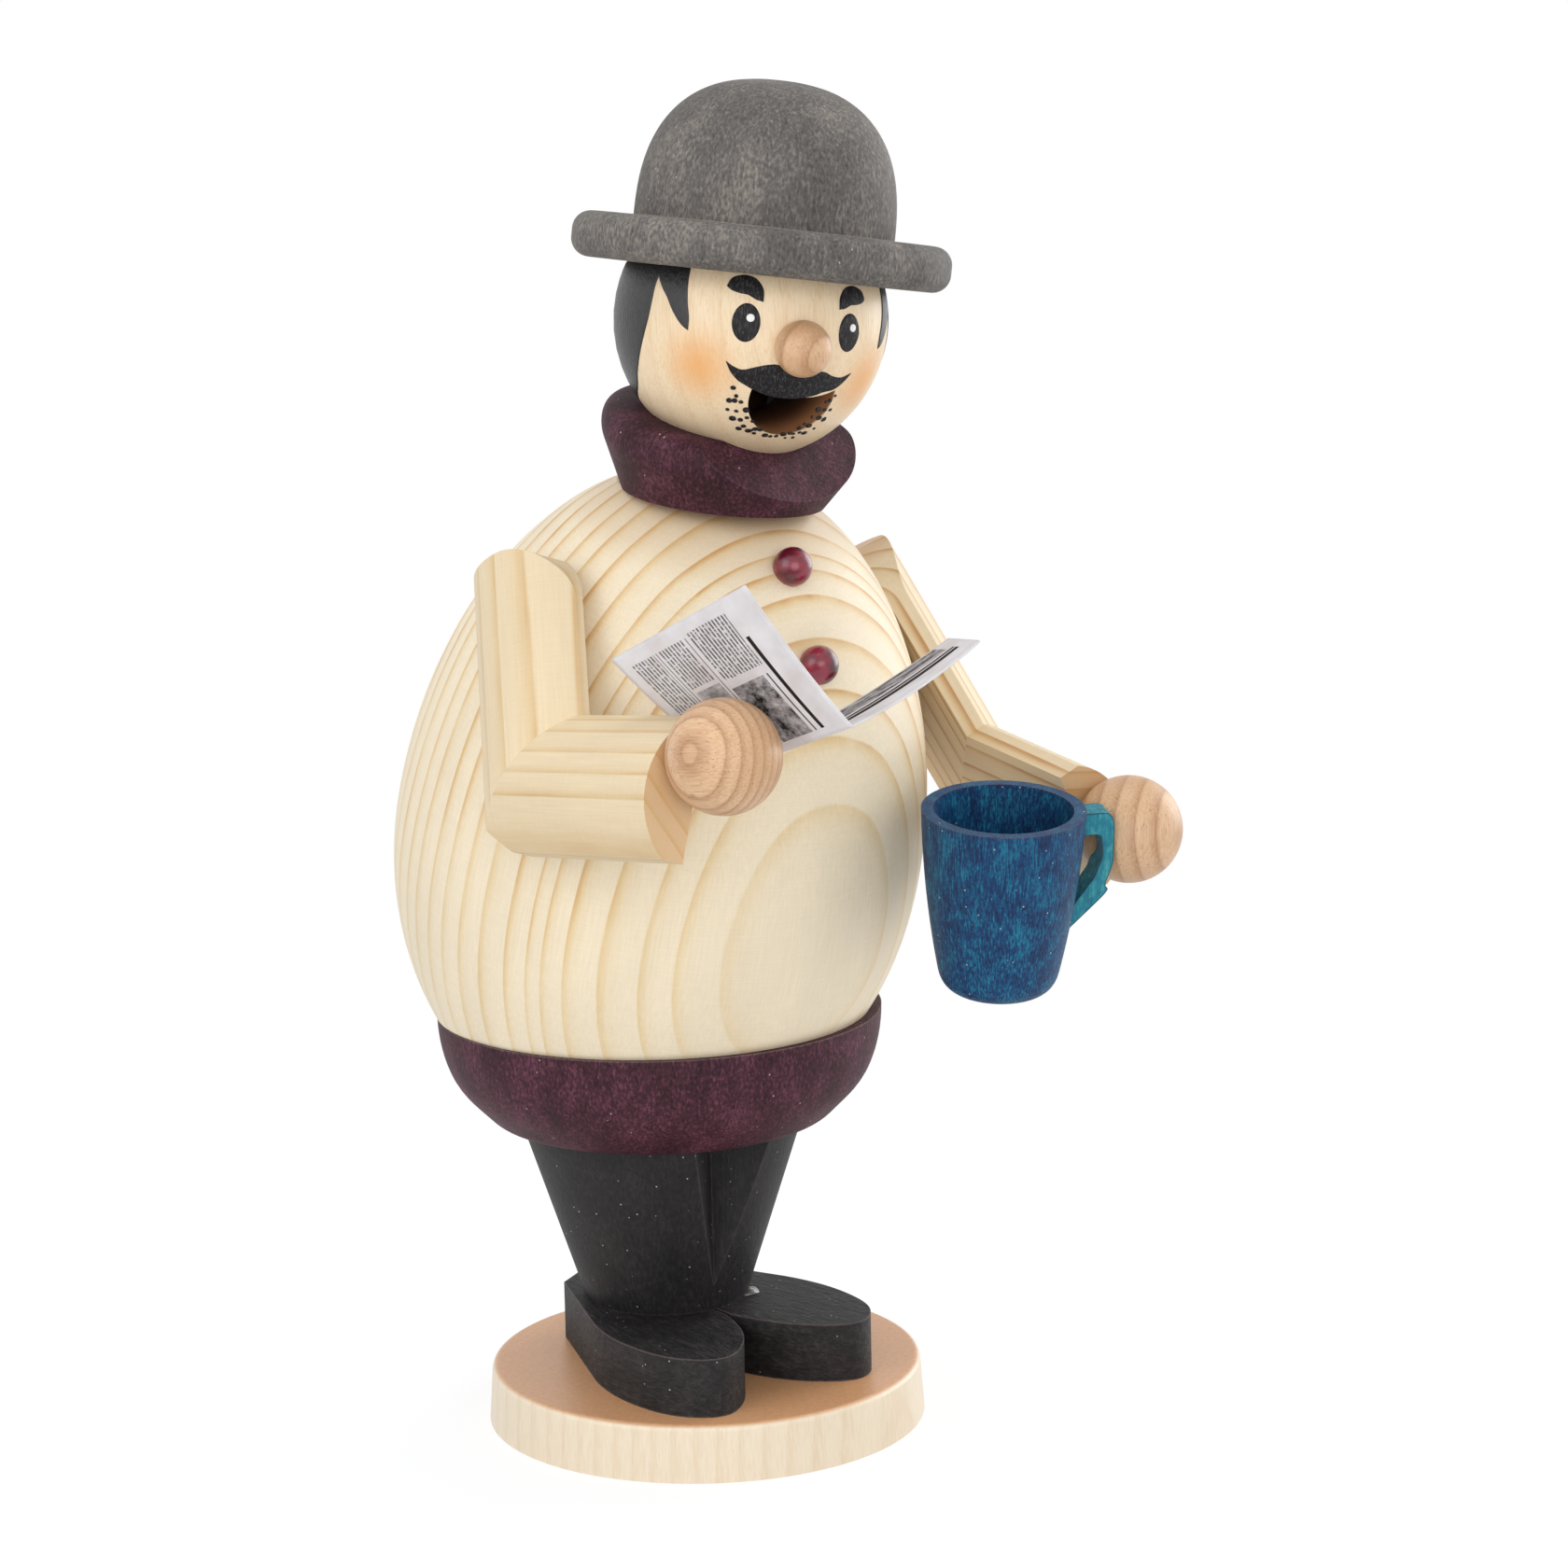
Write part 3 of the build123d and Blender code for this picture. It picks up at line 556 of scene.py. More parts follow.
@dataclass(frozen=True)
class Stain:
    """Water stain on turned or sawn wood, sealed matt.

    The stain sinks in unevenly: it is cloudy, flecked and streaked along the fibres, thin on sharp
    edges and missing under dust specks. The fibres stay rough, so that little light is mirrored.

    deep, middle, pale: colours from soaked to thin, edge and speck: bare wood and dust
    cloud, fleck: widths of clouds and flecks in millimetres
    cloud_stretch, fleck_stretch: their lengths along the fibres by their widths
    streak_across, streak_along: size of the streaks in millimetres
    shares: how much clouds, flecks and streaks count
    spread: how far from 0.5 their sum reaches the deep and the pale colour
    edge_wear, speck_amount: how worn sharp edges are, and how many specks there are
    mirror: specular level
    relief: height of the raised fibres in millimetres
    edge_radius: reach of the wear at an edge in millimetres
    edge_cosines: cosines of the edge's turn between which the wear grows
    speck_scale: specks' cells per millimetre
    speck_distances: rim and core of a speck in shares of its cell
    """

    name: str
    grain: Grain
    deep: str
    middle: str
    pale: str
    edge: str = "#8A7A70"
    speck: str = "#C9C4BE"
    cloud: float = 6.0
    cloud_stretch: float = 1.5
    fleck: float = 0.5
    fleck_stretch: float = 1.8
    streak_across: float = 0.3
    streak_along: float = 5.0
    shares: tuple = (0.3, 0.35, 0.35)
    spread: float = 0.16
    edge_wear: float = 0.5
    speck_amount: float = 0.5
    mirror: float = 0.2
    roughness: float = 0.6
    roughness_spread: float = 0.12
    relief: float = 0.05
    edge_radius: float = 0.35
    edge_cosines: tuple = (0.995, 0.85)
    speck_scale: float = 0.9
    speck_distances: tuple = (0.1, 0.05)

    def material(self) -> bpy.types.Material:
        """Build the material of this finish.

        Returns:
            The material.
        """
        material, tree = blank_material(self.name)
        place = self.grain.space(tree)
        clouds = streaks(tree, place, across=self.cloud, along=self.cloud * self.cloud_stretch)
        flecks = streaks(tree, place, across=self.fleck, along=self.fleck * self.fleck_stretch, detail=2.0,
                         seed=11.0)
        fibres = streaks(tree, place, across=self.streak_across, along=self.streak_along, seed=3.0)
        value = add(tree, "Math", {0: clouds, 1: self.shares[0]}, operation="MULTIPLY")
        for noise, share in ((flecks, self.shares[1]), (fibres, self.shares[2])):
            value = add(tree, "Math", {0: noise, 1: share, 2: value}, operation="MULTIPLY_ADD")
        stained = add(tree, "ValToRGB", {"Fac": value}, [
            (0.5 - self.spread, self.deep), (0.5, self.middle), (0.5 + self.spread, self.pale)])
        worn = add(tree, "Math", {0: self.edges(tree), 1: flecks}, operation="MULTIPLY")
        worn = add(tree, "Math", {0: worn, 1: self.edge_wear}, operation="MULTIPLY", use_clamp=True)
        rubbed = add(tree, "Mix", {"Factor": worn, "A": stained, "B": linear(self.edge)}, **OVER)
        dust = self.specks(tree, place)
        dusted = add(tree, "Mix", {"Factor": dust, "A": rubbed, "B": linear(self.speck)}, **OVER)
        rough = add(tree, "MapRange", {"Value": fibres, "To Min": self.roughness - self.roughness_spread,
                                       "To Max": self.roughness + self.roughness_spread})
        height = add(tree, "Math", {0: fibres, 1: flecks}, operation="ADD")
        surface_output(tree, dusted, rough, height, relief=self.relief, Specular_IOR_Level=self.mirror)
        return material

    def edges(self, tree: Tree) -> Node:
        """Add a mask of sharp edges: how far the rounded normal turns from the face's own.

        Args:
            tree: node tree that takes the nodes.

        Returns:
            The node with the mask, 2 at the sharpest edges.
        """
        rounded = add(tree, "Bevel", {"Radius": self.edge_radius * MM}, samples=6)
        own = add(tree, "NewGeometry").outputs["Normal"]
        cosine = add(tree, "VectorMath", {0: rounded, 1: own}, operation="DOT_PRODUCT").outputs["Value"]
        dull, sharp = self.edge_cosines
        return add(tree, "MapRange", {"Value": cosine, "From Min": dull, "From Max": sharp, "To Max": 2.0})

    def specks(self, tree: Tree, place: Node) -> Node:
        """Add a mask of dust specks: the cores of some cells of a Voronoi pattern.

        Args:
            tree: node tree that takes the nodes.
            place: node with the local position.

        Returns:
            The node with the mask.
        """
        cells = add(tree, "TexVoronoi", {"Vector": place, "Scale": self.speck_scale}, feature="F1")
        rim, core = self.speck_distances
        near = add(tree, "MapRange", {"Value": cells.outputs["Distance"], "From Min": rim, "From Max": core})
        chance = add(tree, "SeparateXYZ", {0: cells.outputs["Color"]}).outputs["X"]
        chosen = add(tree, "Math", {0: chance, 1: 1 - 0.5 * self.speck_amount}, operation="GREATER_THAN")
        return add(tree, "Math", {0: near, 1: chosen}, operation="MULTIPLY")


# Burgundy stain sinks into end grain in small flecks, which show more than its streaks.
BURGUNDY = {"streak_along": 0.9, "shares": (0.3, 0.45, 0.25), "spread": 0.12, "speck_amount": 0.3}


@dataclass(frozen=True)
class Lacquer:
    """Red lacquer on a small turned bead: deep and clear, with the wood's rings glowing through."""

    name: str
    grain: Grain
    deep: str = "#43081A"
    clear: str = "#8A1230"
    roughness: float = 0.32

    def material(self) -> bpy.types.Material:
        """Build the material of this finish.

        Returns:
            The material.
        """
        material, tree = blank_material(self.name)
        place = self.grain.space(tree)
        glow = streaks(tree, place, across=1.8, along=5.0, detail=1.0)
        colour = add(tree, "ValToRGB", {"Fac": glow}, [(0.35, self.deep), (0.65, self.clear)])
        fine = streaks(tree, place, across=0.15, along=0.5, detail=1.0, seed=4.0)
        surface_output(tree, colour, self.roughness, fine, relief=0.01, Coat_Weight=0.6,
                       Coat_Roughness=0.18)
        return material


@dataclass(frozen=True)
class Paint:
    """Brush paint on the head, of fine short strokes: half gloss, with ridges that catch the light.

    deep, worn: colours of the thick and of the thin paint
    stroke_width, stroke_length: size of a hair's mark in millimetres, twice as coarse as a real one
    gloss: specular level
    relief: height of the ridges in millimetres
    """

    name: str
    deep: str = "#141315"
    worn: str = "#575254"
    stroke_width: float = 0.2
    stroke_length: float = 1.4
    roughness: float = 0.5
    gloss: float = 0.25
    relief: float = 0.08

    def material(self) -> bpy.types.Material:
        """Build the material of this finish.

        Returns:
            The material.
        """
        material, tree = blank_material(self.name)
        upright = Grain(start=ORIGIN, fibres=(0.05, 0.0, 1.0), bark=FORWARD)
        place = upright.space(tree)
        strokes = streaks(tree, place, across=self.stroke_width, along=self.stroke_length)
        colour = add(tree, "ValToRGB", {"Fac": strokes}, [(0.5, self.deep), (0.78, self.worn)])
        surface_output(tree, colour, self.roughness, strokes, relief=self.relief,
                       Specular_IOR_Level=self.gloss)
        return material


@dataclass(frozen=True)
class Metal:
    """Pressed tin plate or a drawn steel nail: bright, with fine rings or lines and a little soot."""

    name: str
    bright: str = "#BDBAB4"
    sooty: str = "#6E675F"
    roughness: float = 0.34

    def material(self) -> bpy.types.Material:
        """Build the material of this finish.

        Returns:
            The material.
        """
        material, tree = blank_material(self.name)
        place = Grain(start=ORIGIN, fibres=SIDEWAYS, bark=UP).space(tree)
        brushed = streaks(tree, place, across=0.12, along=8.0)
        soot = streaks(tree, place, across=4.0, along=4.0, seed=9.0)
        colour = add(tree, "ValToRGB", {"Fac": soot}, [(0.4, self.bright), (0.75, self.sooty)])
        rough = add(tree, "MapRange", {"Value": brushed, "To Min": self.roughness - 0.1,
                                       "To Max": self.roughness + 0.15})
        surface_output(tree, colour, rough, brushed, relief=0.01, Metallic=1.0)
        return material


@dataclass(frozen=True)
class Glue:
    """Dried wood glue: a clear, slightly yellow, glossy bead that shows the stain below it."""

    name: str = "dried wood glue"
    thin: str = "#2A2828"
    thick: str = "#8A847C"
    roughness: float = 0.12

    def material(self) -> bpy.types.Material:
        """Build the material of this finish.

        Returns:
            The material.
        """
        material, tree = blank_material(self.name)
        place = Grain(start=ORIGIN, fibres=UP, bark=FORWARD).space(tree)
        lumps = streaks(tree, place, across=0.8, along=0.8)
        colour = add(tree, "ValToRGB", {"Fac": lumps}, [(0.3, self.thin), (0.8, self.thick)])
        surface_output(tree, colour, self.roughness, lumps, relief=0.05, Coat_Weight=0.5,
                       Coat_Roughness=0.05)
        return material


class Print(Enum):
    """What fills a block of the printed page."""

    TEXT = "text"
    PICTURE = "picture"
    RULE = "rule"


@dataclass(frozen=True)
class PrintBlock:
    """A block of the page by the shares of its width and height that it spans."""

    kind: Print
    left: float
    low: float
    right: float
    high: float
    ink: float = 0.8


@dataclass(frozen=True)
class Newsprint:
    """Offset print on thin uncoated paper, which is matt and faintly mottled.

    The print is columns of short grey dashes, rules and picture blocks, with no letters.

    line_pitch: distance between lines of the small print, in millimetres
    word_scale, tone_scale, mottle_scale: words, tones of a picture and mottles per millimetre
    width, height: size of the open sheet that the UV map spans, in millimetres
    blocks: what is printed, and where
    mirror: specular level
    """

    name: str = "printed newspaper sheet"
    paper: str = "#E4E1E2"
    shade: str = "#D3CCCB"
    ink: str = "#262222"
    line_pitch: float = 0.24
    word_scale: float = 2.2
    tone_scale: float = 0.45
    mottle_scale: float = 0.25
    width: float = 21.0
    height: float = 36.0
    blocks: tuple = ()
    roughness: float = 0.75
    mirror: float = 0.12

    def material(self) -> bpy.types.Material:
        """Build the material of this finish; its pattern follows the sheet's own UV map.

        Returns:
            The material.
        """
        material, tree = blank_material(self.name)
        uv = add(tree, "UVMap", uv_map="page")
        size = add(tree, "VectorMath", {0: uv, 1: (self.width, self.height, 1.0)}, operation="MULTIPLY")
        mottled = add(tree, "TexNoise", {"Vector": size, "Scale": self.mottle_scale, "Detail": 3.0})
        page = add(tree, "ValToRGB", {"Fac": mottled}, [(0.35, self.paper), (0.7, self.shade)])
        patterns = {Print.TEXT: self.dashes(tree, size), Print.PICTURE: self.halftone(tree, size)}
        for block in self.blocks:
            inside = self.inside(tree, uv, block)
            if block.kind in patterns:
                inside = add(tree, "Math", {0: inside, 1: patterns[block.kind]}, operation="MULTIPLY")
            inked = add(tree, "Math", {0: inside, 1: block.ink}, operation="MULTIPLY")
            page = add(tree, "Mix", {"Factor": inked, "A": page, "B": linear(self.ink)}, **OVER)
        surface_output(tree, page, self.roughness, mottled, relief=0.02, Specular_IOR_Level=self.mirror)
        return material

    def dashes(self, tree: Tree, size: Node) -> Node:
        """Add lines of broken dashes: a square wave across the page times a noise drawn out along it.

        Args:
            tree: node tree that takes the nodes.
            size: node with the place on the page in millimetres.

        Returns:
            The node with the ink's share.
        """
        lines = add(tree, "VectorMath", {0: size, 1: (1 / self.line_pitch, 1.0, 1.0)}, operation="MULTIPLY")
        row = add(tree, "SeparateXYZ", {0: lines})
        wave = add(tree, "Math", {0: row.outputs["X"], 1: 1.0}, operation="PINGPONG")
        line = add(tree, "MapRange", {"Value": wave, "From Min": 0.4, "From Max": 0.6})
        number = add(tree, "Math", {0: row.outputs["X"], 1: 2.0}, operation="SNAP")
        seeded = add(tree, "CombineXYZ", {"X": row.outputs["Y"], "Y": number})
        words = add(tree, "TexNoise", {"Vector": seeded, "Scale": self.word_scale, "Detail": 3.0,
                                       "Roughness": 0.8})
        gaps = add(tree, "MapRange", {"Value": words, "From Min": 0.36, "From Max": 0.5})
        return add(tree, "Math", {0: line, 1: gaps}, operation="MULTIPLY")

    def halftone(self, tree: Tree, size: Node) -> Node:
        """Add a grey picture's tones: soft clouds with fine grit.

        Args:
            tree: node tree that takes the nodes.
            size: node with the place on the page in millimetres.

        Returns:
            The node with the ink's share.
        """
        soft = add(tree, "TexNoise", {"Vector": size, "Scale": self.tone_scale, "Detail": 5.0,
                                      "Roughness": 0.75})
        return add(tree, "MapRange", {"Value": soft, "From Min": 0.3, "From Max": 0.62})

    def inside(self, tree: Tree, uv: Node, block: PrintBlock) -> Node:
        """Add a mask of a block: both |u - middle| / half and |v - middle| / half are under 1.

        Args:
            tree: node tree that takes the nodes.
            uv: node with the place on the page in shares of its sides.
            block: the block.

        Returns:
            The node with 1 inside the block and 0 outside it.
        """
        middle = ((block.left + block.right) / 2, (block.low + block.high) / 2, 0.0)
        half = ((block.right - block.left) / 2, (block.high - block.low) / 2, 1.0)
        away = add(tree, "VectorMath", {0: uv, 1: middle}, operation="SUBTRACT")
        scaled = add(tree, "VectorMath", {0: away, 1: half}, operation="DIVIDE")
        parts = add(tree, "SeparateXYZ", {0: add(tree, "VectorMath", {0: scaled}, operation="ABSOLUTE")})
        far = add(tree, "Math", {0: parts.outputs["X"], 1: parts.outputs["Y"]}, operation="MAXIMUM")
        return add(tree, "Math", {0: far, 1: 1.0}, operation="LESS_THAN")


def smooth_line(points: list, count: int) -> np.ndarray:
    """Draw a smooth line through points (Catmull-Rom), sampled evenly by chord length.

    Args:
        points: corner points, any number of coordinates each.
        count: number of samples.

    Returns:
        Array of count rows.
    """
    knots = np.asarray(points, float)
    padded = np.vstack([2 * knots[0] - knots[1], knots, 2 * knots[-1] - knots[-2]])
    chords = np.linalg.norm(np.diff(knots, axis=0), axis=1)
    along = np.concatenate(([0.0], np.cumsum(chords)))
    wanted = np.linspace(0.0, along[-1], count)
    span = np.clip(np.searchsorted(along, wanted, side="right") - 1, 0, len(knots) - 2)
    t = ((wanted - along[span]) / chords[span])[:, None]
    p0, p1, p2, p3 = (padded[span + shift] for shift in range(4))
    return 0.5 * (2 * p1 + (p2 - p0) * t + (2 * p0 - 5 * p1 + 4 * p2 - p3) * t ** 2
                  + (3 * p1 - p0 - 3 * p2 + p3) * t ** 3)


def grid_object(name: str, grids: list, wrap: bool, uv_name: str = "") -> bpy.types.Object:
    """Make one mesh object from grids of points in millimetres.

    Args:
        name: object name.
        grids: arrays of rows x columns x 3. Columns join up where wrap is set, and rows or columns
            that shrink to one point are merged into it.
        wrap: whether the last column joins the first.
        uv_name: name of a UV map of row and column shares, or "" for none.

    Returns:
        The object, linked to the scene.
    """
    points, faces, shares = [], [], []
    for grid in grids:
        rows, columns = grid.shape[:2]
        index = np.arange(rows * columns).reshape(rows, columns) + sum(len(block) for block in points)
        beside = np.roll(index, -1, axis=1) if wrap else index[:, 1:]
        here = index if wrap else index[:, :-1]
        faces.append(np.stack([here[:-1], beside[:-1], beside[1:], here[1:]], axis=-1).reshape(-1, 4))
        points.append(grid.reshape(-1, 3) * MM)
        u, v = np.meshgrid(np.linspace(0, 1, columns), np.linspace(0, 1, rows))
        shares.append(np.stack([u, v], axis=-1).reshape(-1, 2))
    mesh = bpy.data.meshes.new(name)
    mesh.from_pydata(np.concatenate(points).tolist(), [], np.concatenate(faces).tolist())
    if uv_name:
        corners = np.zeros(len(mesh.loops), np.int32)
        mesh.loops.foreach_get("vertex_index", corners)
        uv = mesh.uv_layers.new(name=uv_name)
        uv.data.foreach_set("uv", np.concatenate(shares)[corners].astype(np.float32).ravel())
    edit = bmesh.new()
    edit.from_mesh(mesh)
    bmesh.ops.remove_doubles(edit, verts=edit.verts, dist=WELD * MM)
    bmesh.ops.dissolve_degenerate(edit, edges=edit.edges, dist=WELD * MM)
    bmesh.ops.recalc_face_normals(edit, faces=edit.faces)
    edit.to_mesh(mesh)
    edit.free()
    mesh.polygons.foreach_set("use_smooth", np.ones(len(mesh.polygons), bool))
    made = bpy.data.objects.new(name, mesh)
    bpy.context.scene.collection.objects.link(made)
    return made


def dress(node: str, finish: Finish) -> None:
    """Give a node of the frame its finish.

    Args:
        node: node name.
        finish: what it is made of.
    """
    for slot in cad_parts[node].material_slots:
        slot.material = finish.material()
    LOG.info("%s: %s", node, finish.name)


def place_piece(piece: bpy.types.Object, finish: Finish, body: Body) -> None:
    """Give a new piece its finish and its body.

    Args:
        piece: the object.
        finish: what it is made of.
        body: body that it moves with.
    """
    piece.data.materials.append(finish.material())
    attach(piece, body.value)
    LOG.info("%s: %s", piece.name, finish.name)


def axis_of(forward: float, side: float) -> Vector:
    """Unit vector that leans forward and towards the figure's left by two angles in degrees."""
    return Vector((math.tan(math.radians(side)), -math.tan(math.radians(forward)), 1.0)).normalized()


@dataclass
class Stand:
    """Base disc, shoes, trousers and waist bowl with its metal plate.

    figure_axis: where the figure's axis meets the base, in millimetres
    toe_out: sideways share of the shoes' direction
    bead_place, bead_half: middle and half sizes of the glue bead, in millimetres
    bead_lumps: how much the bead swells and shrinks, as a share
    """

    figure_axis: tuple = (-1.6, 5.7)
    toe_out: float = 0.12
    bead_place: tuple = (5.3, -1.7, 13.8)
    bead_half: tuple = (1.6, 1.0, 0.7)
    bead_lumps: float = 0.12

    def build(self) -> None:
        """Dress the nodes of the stand and lay the glue bead between trousers and shoe."""
        foot = (*self.figure_axis, 0.0)
        turned = Grain(foot, UP, (0.3, -1.0, 0.0))
        dress("base_disc", Hardwood(
            "maple disc cut from a round bar, oiled",
            Grain((30.0, -60.0, 0.0), UP, (-0.4, 1.0, 0.0), pith=90.0),
            pale="#F0E0C6", dark="#DDC19B", ring_width=2.4, band_strength=0.35, fleck_strength=0.15,
            end_wood="#E0A878", end_dark=1.0, roughness=0.4))
        black = dict(deep="#121112", middle="#201E1F", pale="#332F2F", speck_amount=0.8, edge="#5E5250",
                     mirror=0.3)
        dress("trouser_legs", Stain("black stain on a turned cone", turned, **black))
        for side in Side:
            board = Grain(foot, (side.value * self.toe_out, -1.0, 0.0), UP)
            dress("shoe_" + side.word, Stain("black stain on a sawn board, " + side.word, board, cloud=3.0,
                                             fleck=0.8, streak_along=3.0, spread=0.11, edge_wear=1.6,
                                             relief=0.16, **black))
            dress("shoe_dowel_" + side.word, birch_dowel("shoe " + side.word, Grain(foot, UP, SIDEWAYS)))
        dress("waist_bowl", Stain("burgundy stain on a turned bowl", turned, deep="#26121A",
                                  middle="#43222C", pale="#6A3D4E", cloud=5.0, fleck=0.32, **BURGUNDY))
        dress("ember_plate", Metal("pressed tin plate"))
        dress("plate_nail", Metal("steel nail", roughness=0.28))
        bead = grid_object("shoe_glue_bead", [self.bead()], wrap=True)
        place_piece(bead, Glue(), Body.LOWER)

    def bead(self) -> np.ndarray:
        """Lumpy bead: middle + half (cos a sin b, sin a sin b, cos b) (1 + lumps sin 3a sin 2b).

        Returns:
            Grid of points in millimetres, whose columns wrap.
        """
        a, b = np.meshgrid(np.linspace(0, 2 * np.pi, 28, endpoint=False), np.linspace(0, np.pi, 16))
        ball = np.stack([np.cos(a) * np.sin(b), np.sin(a) * np.sin(b), np.cos(b)], axis=-1)
        swell = (1 + self.bead_lumps * np.sin(3 * a) * np.sin(2 * b))[..., None]
        return np.array(self.bead_place) + ball * swell * np.array(self.bead_half)


@dataclass
class Trunk:
    """Hollow egg with its two buttons.

    centre, radius: middle and radius of the belly, in millimetres
    lean: degrees by which the fibres lean forward
    ring_widths: widths of the layers from the belly's front inwards, in millimetres
    """

    centre: tuple = (-2.1, 4.3, 70.6)
    lean: float = 18.0
    radius: float = 31.4
    ring_widths: tuple = (2.6, 2.7, 2.4, 3.4, 3.4, 2.4, 1.7, 2.7, 3.6, 3.3, 3.1, 2.9, 3.2, 2.8, 3.3, 2.9,
                          3.4, 3.0, 2.7, 3.1, 3.0, 2.8)

    def build(self) -> None:
        """Dress the egg and the buttons."""
        fibres = axis_of(self.lean, 0.0)
        bark = Vector(SIDEWAYS).cross(fibres) * -1
        front = tuple(Vector(self.centre) - bark * self.radius)
        dress("body_shell", Softwood(
            "spruce egg, turned and sealed matt", Grain(front, tuple(fibres), tuple(bark)),
            ring_widths=self.ring_widths, weak_strength=0.45, late_strength=0.95, fade=(-18.0, 26.0),
            first_strength=0.3, early="#F0E0C2", middle="#E6CC9D", late="#CE9A5C"))
        for rank in ("upper", "lower"):
            dress("button_" + rank, Lacquer("red lacquer on a bead, " + rank,
                                            Grain(front, (0.2, -0.9, 0.4), SIDEWAYS)))


@dataclass
class Arm:
    """One arm of half-round moulding with its hand ball.

    elbow, hand: places of the elbow and of the ball's middle, in millimetres
    turn, lean, dip, elbow_angle: degrees of the forearm's turn inward, the arm's lean outward, the
        forearm's fall below level and the bend between the two pieces
    layer_tilt: degrees between the growth layers and the moulding's flat
    ring_strength: how dark its late wood is
    hand_fibres, hand_bark, hand_rings: directions and ring width of the ball's wood
    board_depth: distance from the first growth layer to the elbow, in millimetres
    """

    side: Side
    elbow: tuple
    turn: float
    lean: float
    dip: float
    hand: tuple
    layer_tilt: float
    ring_strength: float
    hand_fibres: tuple
    hand_bark: tuple
    hand_rings: float
    elbow_angle: float = 112.0
    board_depth: float = 20.0
    ring_widths: tuple = (2.4, 1.8, 2.6, 3.0, 2.2, 1.6, 2.4, 2.8, 2.0, 1.7, 2.5, 2.9, 2.2, 1.9, 2.3, 2.6)

    def ways(self) -> tuple:
        """Work out the arm's directions from its angles.

        Returns:
            Unit vectors along the forearm, along the upper arm and out of the flat.
        """
        sign = self.side.value
        turn, lean, dip = (math.radians(value) for value in (self.turn, self.lean, self.dip))
        forward = Vector((-sign * math.sin(turn), -math.cos(turn), 0.0))
        outward = Vector((sign * math.cos(turn), -math.sin(turn), 0.0))
        down = outward * math.sin(lean) - Vector(UP) * math.cos(lean)
        fore = forward * math.cos(dip) + down * math.sin(dip)
        edge = forward * math.sin(dip) - down * math.cos(dip)
        bend = math.radians(self.elbow_angle)
        upper = fore * math.cos(bend) + edge * math.sin(bend)
        return fore, upper, edge.cross(fore) * sign

    def build(self) -> None:
        """Dress the two mouldings, the ball and the dowels."""
        fore, upper, out = self.ways()
        word = self.side.word
        tilt = math.radians(self.layer_tilt)
        for part, fibres in (("forearm", fore), ("upper_arm", upper)):
            bark = out * math.cos(tilt) + fibres.cross(out) * math.sin(tilt)
            start = Vector(self.elbow) - bark * self.board_depth
            dress(f"{part}_{word}", Softwood(
                f"pine moulding, {part} {word}", Grain(tuple(start), tuple(fibres), tuple(bark)),
                ring_widths=self.ring_widths, early="#E5D0AB", middle="#DABD8E", late="#BC884D",
                late_strength=self.ring_strength, weak_strength=self.ring_strength, wobble=0.8))
        dress("hand_" + word, Hardwood(
            "beech ball, hand " + word, Grain(self.hand, self.hand_fibres, self.hand_bark, pith=25.0),
            pale="#DFB890", dark="#A5734C", ring_width=self.hand_rings, fleck_strength=0.7))
        for part in ("shoulder_dowel_", "wrist_dowel_"):
            dress(part + word, birch_dowel(part + word, Grain(self.elbow, tuple(out), tuple(fore))))


